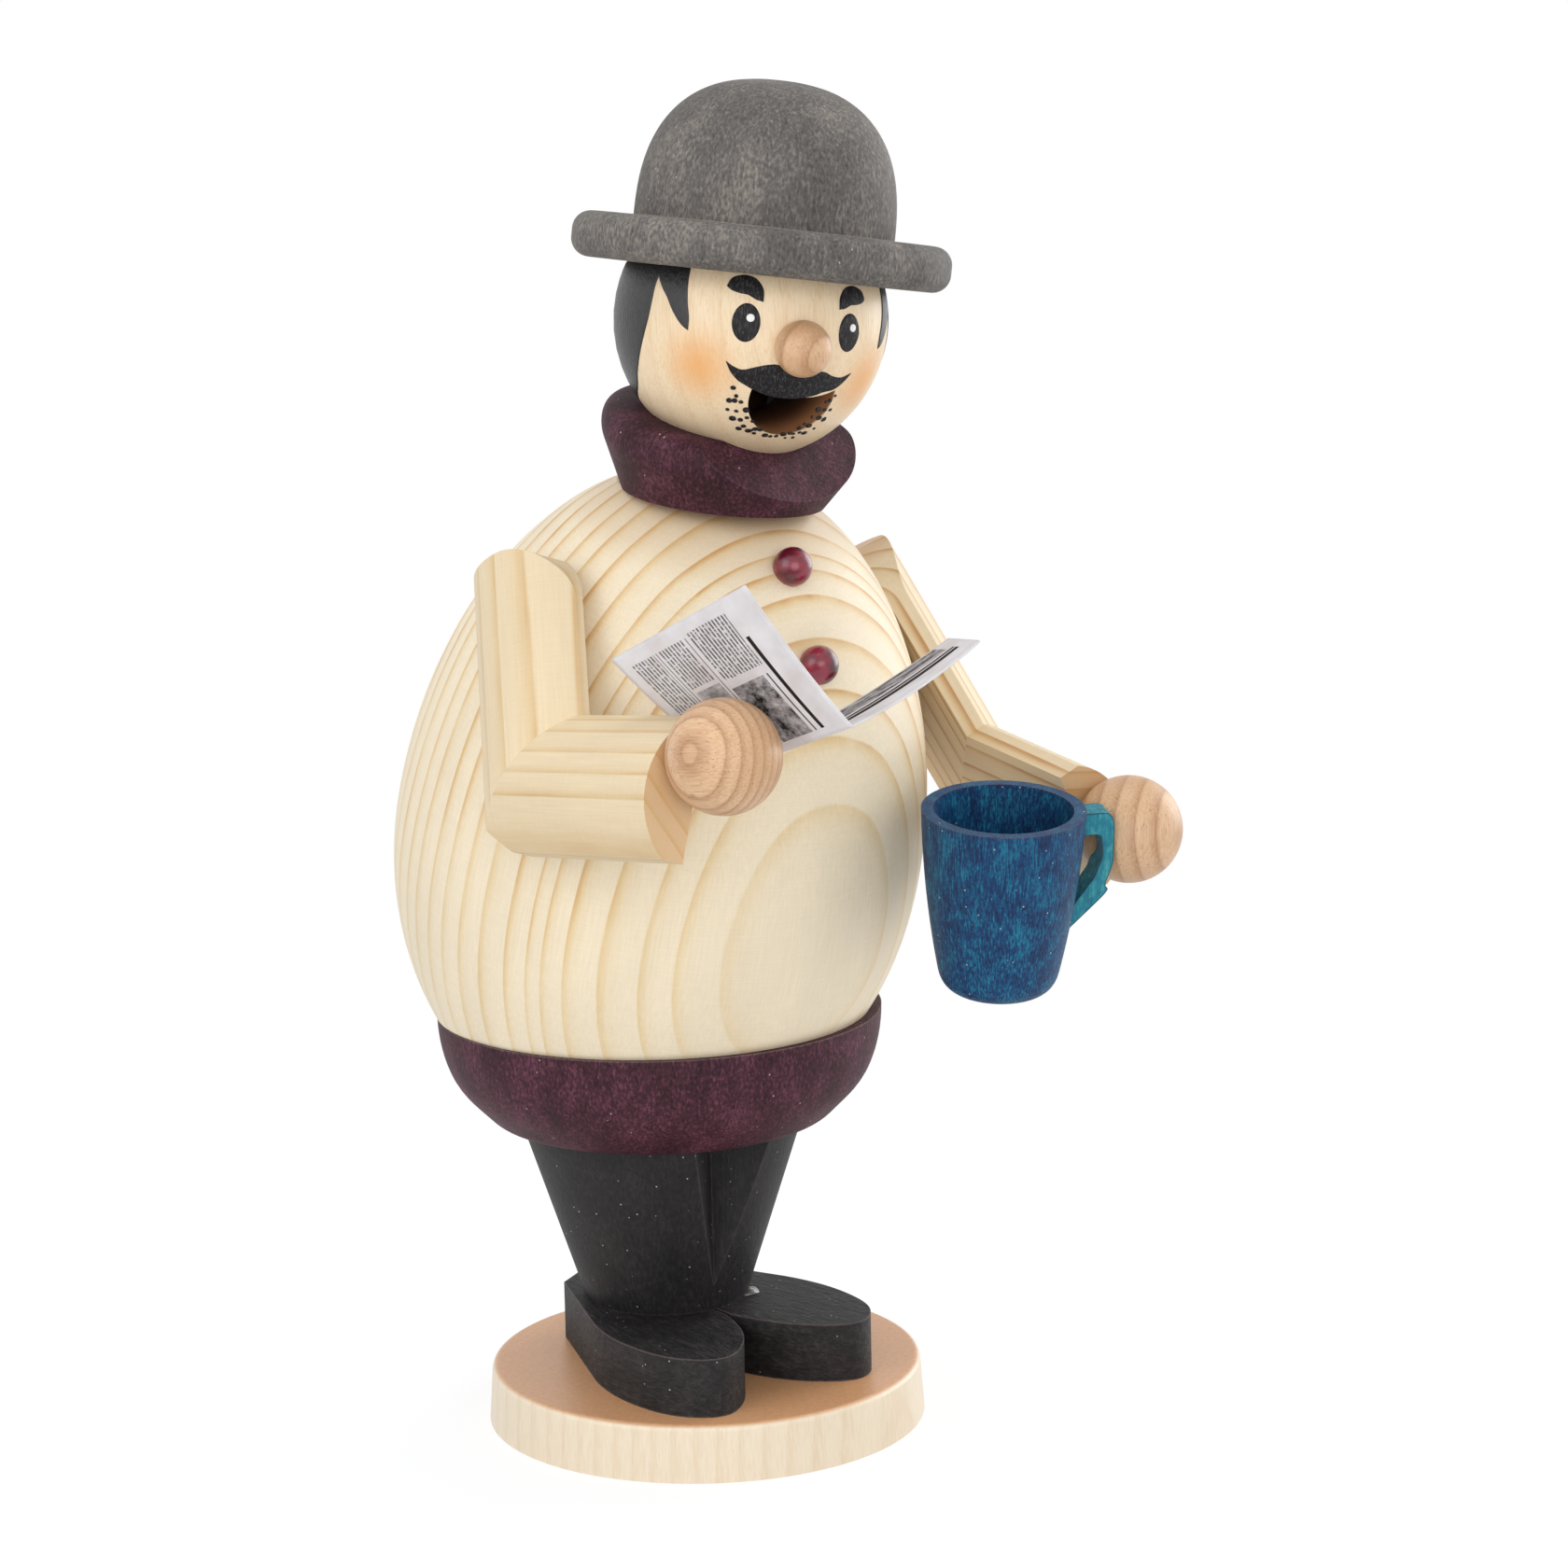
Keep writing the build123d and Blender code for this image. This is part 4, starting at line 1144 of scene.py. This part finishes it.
@dataclass
class Head:
    """Ball head with nose, painted hair and face, on its collar.

    Places on the ball are (turn, rise) in degrees: turn to the figure's left from the middle of the
    face, rise above the ball's equator, about the axis that the hat leans on. Edges are such places
    one after another, and halves are half sizes in the same degrees.

    centre, radius: the ball, in millimetres
    face_turn: degrees by which the face turns to the figure's right
    lean, side_lean: degrees by which the head leans forward and towards its left
    seat_rise: rise of the hat's seat, where the hair ends
    paint, bed: height of the paint above the ball and depth of its bed below, in millimetres
    full_width: width in degrees under which a patch of paint thins out
    roundness: power that rounds a patch's cross-section, from 0 for square to 1 for a circle
    hair_thickness, burn_thickness, glint_thickness: heights above the ball, in millimetres, of the
        hair, the sideburns and the glints
    hair_seat_turns: turns of the places where the hair meets the hat
    stubble_row_shares: places of the rows between the inner and the outer line
    stubble_count, stubble_strewn: dots of a row, and how far they stray in degrees
    stubble_spacing: gap in degrees between the lines under which a row is left out
    stubble_sizes, stubble_stretch: ranges of the dots' half widths in degrees and of height by width
    stubble_seed: start of the random draws
    """

    centre: tuple = (-1.04, -14.70, 133.36)
    radius: float = 15.5
    face_turn: float = 16.0
    lean: float = 1.3
    side_lean: float = 8.0
    seat_rise: float = 19.4
    paint: float = 0.07
    bed: float = 0.15
    full_width: float = 1.5
    roundness: float = 0.4
    hair_thickness: float = 0.1
    burn_thickness: float = 0.12
    glint_thickness: float = 0.14
    hair_seat_turns: tuple = (-64.0, -120.0, -180.0, -240.0, -296.0)
    eye_place: tuple = (23.5, -0.4)
    eye_half: tuple = (5.8, 7.9)
    glint_place: tuple = (1.6, 2.1)
    glint_half: float = 1.7
    brow_top: tuple = ((33.2, 13.8), (31.6, 17.1), (28.3, 18.7), (24.7, 19.0), (20.6, 17.6), (17.6, 13.6),
                       (17.2, 8.8))
    brow_foot: tuple = ((33.2, 13.6), (30.9, 12.1), (27.3, 11.2), (23.8, 10.8), (20.3, 9.2), (17.2, 8.6))
    moustache_top: tuple = ((-30.4, -16.9), (-27.3, -18.8), (-23.1, -19.9), (-18.1, -18.4), (-13.1, -16.9),
                            (-8.1, -16.3), (-4.3, -18.2), (0.6, -19.4), (6.4, -18.6), (11.3, -17.6),
                            (15.0, -17.6), (19.7, -19.0), (25.0, -19.2), (30.4, -17.0))
    moustache_foot: tuple = ((-30.4, -17.3), (-28.2, -21.5), (-24.8, -24.9), (-21.3, -26.7), (-16.7, -28.7),
                             (-10.7, -30.4), (-5.8, -31.1), (1.4, -31.0), (7.5, -30.2), (13.4, -28.6),
                             (17.9, -26.6), (23.0, -25.1), (26.7, -22.1), (30.4, -17.4))
    burn_front: tuple = ((51.0, 19.4), (50.3, 11.8), (49.0, 4.9), (47.7, -1.0), (47.7, -6.2))
    burn_rear: tuple = ((68.0, 19.4), (66.7, 14.5), (63.0, 9.8), (59.6, 6.3), (55.8, 1.1), (51.6, -3.6),
                        (47.7, -6.2))
    hair_edge: tuple = ((64.0, 19.4), (67.0, 13.0), (67.5, 4.2), (68.6, -2.8), (71.4, -10.4), (75.6, -18.3),
                        (81.0, -26.1), (90.0, -35.0), (110.0, -42.0), (145.0, -46.0), (180.0, -47.0))
    stubble_inner: tuple = ((-24.5, -31.5), (-20.5, -38.2), (-16.6, -44.4), (-9.5, -50.2), (1.3, -53.0),
                            (11.5, -51.2), (17.4, -46.0), (20.2, -39.8), (22.6, -31.0))
    stubble_outer: tuple = ((-27.0, -28.6), (-29.0, -36.0), (-28.0, -43.5), (-20.5, -50.6), (-5.5, -54.2),
                            (9.0, -54.2), (22.0, -51.4), (30.0, -43.0), (29.6, -35.0), (27.6, -29.0))
    stubble_row_shares: tuple = (0.0, 0.5, 1.0)
    stubble_count: int = 17
    stubble_spacing: float = 2.6
    stubble_strewn: float = 0.6
    stubble_sizes: tuple = (0.75, 1.6)
    stubble_stretch: tuple = (0.8, 1.1)
    stubble_seed: int = 5
    cheek_place: tuple = (43.0, -20.5)

    def directions(self) -> tuple:
        """Work out the head's directions from its angles.

        Returns:
            Front, left and up as unit vectors.
        """
        up = axis_of(self.lean, self.side_lean)
        turn = math.radians(self.face_turn)
        front = Vector((-math.sin(turn), -math.cos(turn), 0.0))
        left = up.cross(front).normalized()
        return np.array(left.cross(up)), np.array(left), np.array(up)

    def on_ball(self, turn: np.ndarray, rise: np.ndarray, height: np.ndarray) -> np.ndarray:
        """Points above the ball, by the directions of the head and the angles t and r.

        The point is centre + (radius + height) (front cos t cos r + left sin t cos r + up sin r).

        Args:
            turn: degrees to the figure's left.
            rise: degrees above the equator.
            height: millimetres above the ball.

        Returns:
            Array of points in millimetres.
        """
        front, left, up = self.directions()
        t, r = np.radians(turn)[..., None], np.radians(rise)[..., None]
        way = front * np.cos(t) * np.cos(r) + left * np.sin(t) * np.cos(r) + up * np.sin(r)
        return np.array(self.centre) + way * (self.radius + height)[..., None]

    def patch(self, first: list, second: list, columns: int = 48, rings: int = 24,
              thickness: float = None) -> np.ndarray:
        """Closed skin of paint between two edges that meet the ball.

        Across the skin a loop runs over the top and back below the ball's surface: its share across
        is (1 - cos q) / 2, and its height is |sin q| to the power of the roundness, times the
        thickness above and the bed below.

        Args:
            first: points of one edge.
            second: points of the other edge, in the same order.
            columns: samples along the edges.
            rings: samples of the loop.
            thickness: millimetres above the ball, or None for the usual paint.

        Returns:
            Grid of points in millimetres, whose columns wrap.
        """
        edge_a, edge_b = smooth_line(first, columns), smooth_line(second, columns)
        q = np.linspace(0.0, 2 * np.pi, rings, endpoint=False)
        share = ((1 - np.cos(q)) / 2)[None, :, None]
        way = edge_a[:, None, :] * (1 - share) + edge_b[:, None, :] * share
        bump = np.sign(np.sin(q)) * np.abs(np.sin(q)) ** self.roundness
        width = np.linalg.norm(edge_a - edge_b, axis=1)
        taper = np.minimum(1.0, width / self.full_width)[:, None]
        top = (thickness or self.paint) * taper
        height = np.where(bump > 0, bump * top, bump * self.bed * taper)
        return self.on_ball(way[..., 0], way[..., 1], height)

    def oval(self, place: tuple, half: tuple, thickness: float = None, columns: int = 24,
             rings: int = 16) -> np.ndarray:
        """Skin of an ellipse on the ball: turn = place - half cos s, rise = place +- half sin s.

        Args:
            place: its middle.
            half: its halves.
            thickness: millimetres above the ball, or None for the usual paint.
            columns: samples along the edges.
            rings: samples of the loop.

        Returns:
            Grid of points in millimetres, whose columns wrap.
        """
        s = np.linspace(0.0, np.pi, columns)
        turn = place[0] - half[0] * np.cos(s)
        lower = np.stack([turn, place[1] - half[1] * np.sin(s)], axis=1)
        upper = np.stack([turn, place[1] + half[1] * np.sin(s)], axis=1)
        return self.patch(lower.tolist(), upper.tolist(), columns, rings, thickness)

    def mirrored(self, edge: tuple, side: Side) -> list:
        """The edge's points on one side of the face."""
        return [(side.value * turn, rise) for turn, rise in edge]

    def stubble(self) -> list:
        """Small dots on rows between the inner and the outer line round the mouth, strewn a little.

        Returns:
            One grid of points for each dot.
        """
        random = np.random.default_rng(self.stubble_seed)
        inner = smooth_line(self.stubble_inner, self.stubble_count)
        outer = smooth_line(self.stubble_outer, self.stubble_count)
        gaps = np.linalg.norm(outer - inner, axis=1)
        grids = []
        for share in self.stubble_row_shares:
            strewn = random.normal(0.0, self.stubble_strewn, inner.shape)
            row = inner * (1 - share) + outer * share + strewn
            size = random.uniform(*self.stubble_sizes, self.stubble_count)
            stretch = random.uniform(*self.stubble_stretch, self.stubble_count)
            for place, radius, tall, gap in zip(row, size, stretch, gaps):
                if share * gap < self.stubble_spacing and share > 0:
                    continue
                half = (radius / math.cos(math.radians(place[1])), radius * tall)
                grids.append(self.oval(tuple(place), half, columns=9, rings=8))
        return grids

    def skin(self) -> Skin:
        """Finish of the head's ball.

        Returns:
            Limewood with a rouged spot on each cheek.
        """
        wood = Hardwood("limewood head, turned and sealed",
                        Grain(self.centre, (0.05, 0.1, 1.0), (0.6, -0.8, 0.0), pith=60.0),
                        pale="#F1DAB6", dark="#D3A673", ring_width=3.0, band_strength=0.2,
                        fleck_strength=0.35, end_wood="#D6B183", end_dark=0.2)
        turn, rise = self.cheek_place
        cheeks = self.on_ball(np.array([side.value * turn for side in Side]), np.full(len(Side), rise),
                              np.zeros(len(Side)))
        return Skin(wood, self.centre, self.radius, tuple(map(tuple, cheeks.tolist())))

    def build(self) -> None:
        """Dress head, nose, collar and dowel, and paint hair and face."""
        dress("head", self.skin())
        dress("nose", Hardwood(
            "beech ball, nose", Grain(self.centre, (-0.3, -0.3, 0.9), (0.75, -0.65, 0.3), pith=12.0),
            pale="#DDB48C", dark="#A9784F", ring_width=2.6, fleck_strength=0.6))
        dress("collar", Stain(
            "burgundy stain on a turned ring", Grain(self.centre, (0.0, -0.25, 1.0), (0.3, -1.0, 0.0)),
            deep="#24121A", middle="#3F2029", pale="#643A4A", edge="#6C4857", cloud=4.0, fleck=0.35,
            **BURGUNDY))
        dress("hat_dowel", birch_dowel("hat", Grain(self.centre, UP, SIDEWAYS)))
        self.paint_hair()
        self.paint_face()

    def paint_hair(self) -> None:
        """Paint the hair from the hat down, and a sideburn on each side."""
        hair_paint = Paint("black hair paint, brushed", deep="#121114", worn="#2A282C", roughness=0.36,
                           gloss=0.6, relief=0.12)
        seat = [(turn, self.seat_rise) for turn in self.hair_seat_turns]
        hair = [self.patch(self.hair_edge_round(), seat, columns=160, thickness=self.hair_thickness)]
        for side in Side:
            hair.append(self.patch(self.mirrored(self.burn_front, side), self.mirrored(self.burn_rear, side),
                                   thickness=self.burn_thickness))
        place_piece(grid_object("hair_paint", hair, wrap=True), hair_paint, Body.UPPER)

    def paint_face(self) -> None:
        """Paint eyes with glints, brows, moustache and stubble."""
        eyes, brows, glints = [], [], []
        for side in Side:
            place = (side.value * self.eye_place[0], self.eye_place[1])
            eyes.append(self.oval(place, self.eye_half))
            spot = (place[0] + self.glint_place[0], place[1] + self.glint_place[1])
            glints.append(self.oval(spot, (self.glint_half,) * 2, thickness=self.glint_thickness))
            brows.append(self.patch(self.mirrored(self.brow_top, side), self.mirrored(self.brow_foot, side)))
        features = {
            "eye_paint": eyes,
            "brow_paint": brows,
            "moustache_paint": [self.patch(self.moustache_top, self.moustache_foot, columns=96)],
            "stubble_dots": self.stubble(),
        }
        face_paint = Paint("black face paint, dabbed", stroke_length=0.8)
        for name, grids in features.items():
            place_piece(grid_object(name, grids, wrap=True), face_paint, Body.UPPER)
        white = Paint("white glint paint", deep="#F2F0EC", worn="#FFFFFF", relief=0.01)
        place_piece(grid_object("eye_glints", glints, wrap=True), white, Body.UPPER)

    def hair_edge_round(self) -> list:
        """Hair line from the figure's right temple round the nape to its left temple.

        Returns:
            Places on the ball.
        """
        right = [(-turn, rise) for turn, rise in self.hair_edge]
        left = [(turn - 360.0, rise) for turn, rise in self.hair_edge[-2::-1]]
        return right + left


@dataclass
class Hat:
    """Bowler hat of one turned piece.

    seat: middle of the seat in millimetres
    lean, side_lean: degrees by which it leans forward and towards the figure's left
    """

    seat: tuple = (0.0, -14.8, 138.5)
    lean: float = 1.3
    side_lean: float = 8.0

    def build(self) -> None:
        """Dress the hat."""
        axis = tuple(axis_of(self.lean, self.side_lean))
        dress("hat", Stain(
            "grey stain on a turned hat", Grain(self.seat, axis, (0.5, -0.8, 0.0)), deep="#403C3A",
            middle="#64605C", pale="#968E82", edge="#A3988A", cloud=7.0, fleck=0.35, streak_across=0.25,
            streak_along=1.0, shares=(0.35, 0.4, 0.25), speck_amount=0.15, edge_wear=1.6, roughness=0.65,
            mirror=0.25))


@dataclass
class Newspaper:
    """Folded sheet in the right hand, open like a book.

    spine, right_page, left_page: rear and front corner of the fold and of each page's free edge
    right_curl, left_curl: bow of each page's middle, in millimetres
    thickness: of the paper, in millimetres, two to three times a real sheet's
    """

    spine: tuple = ((-22.31, -37.79, 87.48), (-21.41, -57.59, 94.68))
    right_page: tuple = ((-33.01, -30.79, 99.98), (-30.91, -52.09, 109.98))
    left_page: tuple = ((1.79, -45.59, 99.98), (-4.41, -58.19, 101.88))
    right_curl: float = 0.4
    left_curl: float = 0.6
    thickness: float = 0.2

    def page(self, free: tuple, curl: float, rows: int = 40, columns: int = 40) -> np.ndarray:
        """One page: (1 - s) spine + s free edge + 4 curl s (1 - s) normal, s from spine to free edge.

        Args:
            free: rear and front corner of the free edge.
            curl: bow at the page's middle in millimetres.
            rows: samples from the spine to the free edge.
            columns: samples from rear to front.

        Returns:
            Grid of points, rows from the spine to the free edge.
        """
        w = np.linspace(0.0, 1.0, columns)[None, :, None]
        s = np.linspace(0.0, 1.0, rows)[:, None, None]
        rear, front = (np.array(point, float) for point in self.spine)
        free_rear, free_front = (np.array(point, float) for point in free)
        inner = rear + (front - rear) * w
        outer = free_rear + (free_front - free_rear) * w
        normal = np.cross(free_rear - rear, front - rear)
        normal /= np.linalg.norm(normal)
        sign = -1.0 if np.dot(normal, self.back_way()) < 0 else 1.0
        return inner * (1 - s) + outer * s + normal * sign * curl * 4 * s * (1 - s)

    def back_way(self) -> np.ndarray:
        """Direction from the fold's inside to its outside.

        Returns:
            Vector against the sum of both pages' directions.
        """
        rear = np.array(self.spine[0])
        ways = [np.array(page[0]) - rear for page in (self.right_page, self.left_page)]
        return -sum(way / np.linalg.norm(way) for way in ways)

    def build(self) -> None:
        """Build the sheet in the place of its node and print its two pages."""
        right = self.page(self.right_page, self.right_curl)
        left = self.page(self.left_page, self.left_curl)
        open_sheet = np.concatenate([right[::-1], left[1:]])
        sheet = grid_object("newspaper_sheet", [open_sheet], wrap=False, uv_name="page")
        shell = sheet.modifiers.new("paper thickness", "SOLIDIFY")
        shell.thickness = self.thickness * MM
        shell.offset = 0.0
        place_piece(sheet, Newsprint(blocks=self.layout()), Body.UPPER)
        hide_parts("newspaper")

    def layout(self) -> tuple:
        """Lay out both pages, by u from rear to front and v from one free edge to the other.

        Returns:
            The printed blocks.
        """
        text, picture, rule = Print.TEXT, Print.PICTURE, Print.RULE
        return (
            PrintBlock(text, 0.07, 0.05, 0.24, 0.46, 0.8),
            PrintBlock(rule, 0.255, 0.05, 0.262, 0.46, 0.7),
            PrintBlock(text, 0.28, 0.05, 0.46, 0.2, 0.8),
            PrintBlock(picture, 0.28, 0.215, 0.46, 0.34, 0.75),
            PrintBlock(text, 0.28, 0.355, 0.46, 0.46, 0.8),
            PrintBlock(rule, 0.475, 0.05, 0.482, 0.46, 0.7),
            PrintBlock(text, 0.5, 0.04, 0.79, 0.22, 0.85),
            PrintBlock(picture, 0.5, 0.25, 0.74, 0.47, 1.0),
            PrintBlock(rule, 0.765, 0.25, 0.775, 0.47, 0.95),
            PrintBlock(rule, 0.81, 0.13, 0.835, 0.47, 1.0),
            PrintBlock(picture, 0.04, 0.53, 0.4, 0.96, 1.0),
            PrintBlock(rule, 0.46, 0.53, 0.52, 0.97, 1.0),
            PrintBlock(rule, 0.55, 0.53, 0.65, 0.97, 1.0),
        )


@dataclass
class Mug:
    """Turned mug with its sawn handle.

    rim: middle of the rim in millimetres
    lean, side_lean: degrees by which it leans forward and towards the figure's left
    """

    rim: tuple = (14.4, -39.8, 78.4)
    lean: float = 8.5
    side_lean: float = -4.2

    def build(self) -> None:
        """Dress the mug and its handle."""
        grain = Grain(self.rim, tuple(axis_of(self.lean, self.side_lean)), (0.4, -0.9, 0.0))
        dress("mug_body", Stain(
            "blue stain on a turned mug", grain, deep="#071536", middle="#0F3C69", pale="#1C7F9A",
            edge="#5A3A4A", cloud=2.2, fleck=0.25, streak_across=0.16, streak_along=4.0,
            shares=(0.25, 0.25, 0.5), spread=0.13, speck_amount=1.0, roughness=0.5, mirror=0.25,
            relief=0.09))
        dress("mug_handle", Stain(
            "teal stain on a sawn ring", grain, deep="#155A70", middle="#1F7F92", pale="#4FA9A4",
            edge="#1C2A3A", cloud=1.5, edge_wear=1.5, speck_amount=0.2, mirror=0.35))


@dataclass
class Studio:
    """White table and backdrop, soft lamps and the camera.

    camera_place, camera_target: in millimetres
    camera_roll: degrees by which the camera is rolled
    focal_pixels, picture_pixels: focal length and width of the photo, in its pixels
    sensor: width of the camera's sensor in millimetres
    clip_start, clip_end: what the camera sees, in millimetres
    table_half: half the table's edge in millimetres
    table_card, table_dim: what the table throws on the object, and what takes its shadow
    table_glow: what the shaded table glows by for the camera
    shadow_reach: distances from the middle between which the table turns pure white, in millimetres
    lamps: name, place, edge in millimetres and watts of each
    """

    camera_place: tuple = (-289.5, -395.05, 171.94)
    camera_target: tuple = (8.58, -6.59, 77.38)
    camera_roll: float = -1.13
    focal_pixels: float = 4500.0
    picture_pixels: float = 1680.0
    sensor: float = 36.0
    clip_start: float = 10.0
    clip_end: float = 20000.0
    table_half: float = 3000.0
    table_card: str = "#D8D8D8"
    table_dim: str = "#8C8C8C"
    table_glow: float = 0.77
    shadow_reach: tuple = (60.0, 220.0)
    room: str = "#F7FAFF"
    room_strength: float = 0.78
    lamps: tuple = (
        ("left_lamp", (-760.0, -100.0, 420.0), 560.0, 1.6),
        ("front_lamp", (-330.0, -740.0, 220.0), 600.0, 2.0),
        ("right_lamp", (800.0, -60.0, 240.0), 620.0, 3.2),
        ("top_lamp", (0.0, 60.0, 820.0), 420.0, 0.9),
    )

    def build(self) -> None:
        """Lay the table and set world, lamps and camera."""
        self.table()
        self.world()
        for name, place, width, power in self.lamps:
            self.lamp(name, place, width, power)
        self.camera()

    def white_for_camera(self, tree: Tree) -> Node:
        """Add a factor that is 1 for camera, glossy and transmission rays.

        Args:
            tree: node tree that takes the nodes.

        Returns:
            The node with the factor.
        """
        path = add(tree, "LightPath")
        seen = add(tree, "Math", {0: path.outputs["Is Camera Ray"], 1: path.outputs["Is Glossy Ray"]},
                   operation="MAXIMUM")
        return add(tree, "Math", {0: seen, 1: path.outputs["Is Transmission Ray"]}, operation="MAXIMUM")

    def table(self) -> None:
        """White card: it glows to white for the camera and takes the object's shadow near its middle."""
        u = np.linspace(-self.table_half, self.table_half, 3)
        x, y = np.meshgrid(u, u)
        table = grid_object("table", [np.stack([x, y, np.zeros_like(x)], axis=-1)], wrap=False)
        material, tree = blank_material("white card")
        card = add(tree, "BsdfDiffuse", {"Color": linear(self.table_card)})
        dim = add(tree, "BsdfDiffuse", {"Color": linear(self.table_dim)})
        glow = add(tree, "Emission", {"Color": WHITE, "Strength": self.table_glow})
        lit = add(tree, "AddShader", {0: dim, 1: glow})
        white = add(tree, "Emission", {"Color": WHITE, "Strength": 1.0})
        place = add(tree, "TexCoord").outputs["Object"]
        away = add(tree, "VectorMath", {0: place}, operation="LENGTH").outputs["Value"]
        near, beyond = self.shadow_reach
        far = add(tree, "MapRange", {"Value": away, "From Min": near * MM, "From Max": beyond * MM},
                  interpolation_type="SMOOTHSTEP")
        floor = add(tree, "MixShader", {0: far, 1: lit, 2: white})
        mixed = add(tree, "MixShader", {0: self.white_for_camera(tree), 1: card, 2: floor})
        add(tree, "OutputMaterial", {"Surface": mixed})
        table.data.materials.append(material)

    def world(self) -> None:
        """Even white room that the camera sees as pure white."""
        world = bpy.data.worlds.new("white room")
        bpy.context.scene.world = world
        world.use_nodes = True
        tree = world.node_tree
        tree.nodes.clear()
        room = add(tree, "Background", {"Color": linear(self.room), "Strength": self.room_strength})
        backdrop = add(tree, "Background", {"Color": WHITE, "Strength": 1.0})
        mixed = add(tree, "MixShader", {0: self.white_for_camera(tree), 1: room, 2: backdrop})
        add(tree, "OutputWorld", {"Surface": mixed})

    def lamp(self, name: str, place: tuple, width: float, power: float) -> None:
        """Hang a square lamp that looks at the figure.

        Args:
            name: lamp name.
            place: its middle in millimetres.
            width: edge of the square in millimetres.
            power: watts.
        """
        data = bpy.data.lights.new(name, "AREA")
        data.shape = "SQUARE"
        data.size = width * MM
        data.energy = power
        lamp = bpy.data.objects.new(name, data)
        lamp.location = Vector(place) * MM
        aim = Vector(self.camera_target) * MM - lamp.location
        lamp.rotation_euler = aim.to_track_quat("-Z", "Y").to_euler()
        bpy.context.scene.collection.objects.link(lamp)

    def camera(self) -> None:
        """Set the camera: its X axis is cos r right + sin r up, its Y axis cos r up - sin r right."""
        place = Vector(self.camera_place)
        ahead = (Vector(self.camera_target) - place).normalized()
        right = ahead.cross(Vector(UP)).normalized()
        up = right.cross(ahead)
        roll = math.radians(self.camera_roll)
        x_way = right * math.cos(roll) + up * math.sin(roll)
        y_way = up * math.cos(roll) - right * math.sin(roll)
        data = bpy.data.cameras.new("photo_camera")
        data.sensor_width = self.sensor
        data.lens = self.sensor * self.focal_pixels / self.picture_pixels
        data.clip_start = self.clip_start * MM
        data.clip_end = self.clip_end * MM
        camera = bpy.data.objects.new("photo_camera", data)
        turn = Matrix((x_way, y_way, -ahead)).transposed().to_4x4()
        camera.matrix_world = Matrix.Translation(place * MM) @ turn
        bpy.context.scene.collection.objects.link(camera)
        bpy.context.scene.camera = camera


def main() -> None:
    """Dress the whole figure and set up the studio."""
    logging.basicConfig(level=logging.INFO, format="%(message)s")
    bpy.context.scene.view_settings.view_transform = "Standard"
    Studio().build()
    Stand().build()
    Trunk().build()
    Arm(Side.RIGHT, elbow=(-28.8, -20.4, 91.9), turn=-2.3, lean=18.8, dip=-7.5,
        hand=(-30.3, -47.0, 91.2), layer_tilt=50.0, ring_strength=0.6,
        hand_fibres=(0.31, -0.94, 0.11), hand_bark=(-0.94, -0.29, 0.16), hand_rings=1.2).build()
    Arm(Side.LEFT, elbow=(27.3, -18.1, 82.3), turn=8.7, lean=25.7, dip=7.3,
        hand=(31.7, -41.8, 74.0), layer_tilt=60.0, ring_strength=1.0,
        hand_fibres=(0.1, 0.1, 1.0), hand_bark=(0.65, -0.8, 0.05), hand_rings=2.1).build()
    Head().build()
    Hat().build()
    Newspaper().build()
    Mug().build()


if __name__ == "__main__":
    main()
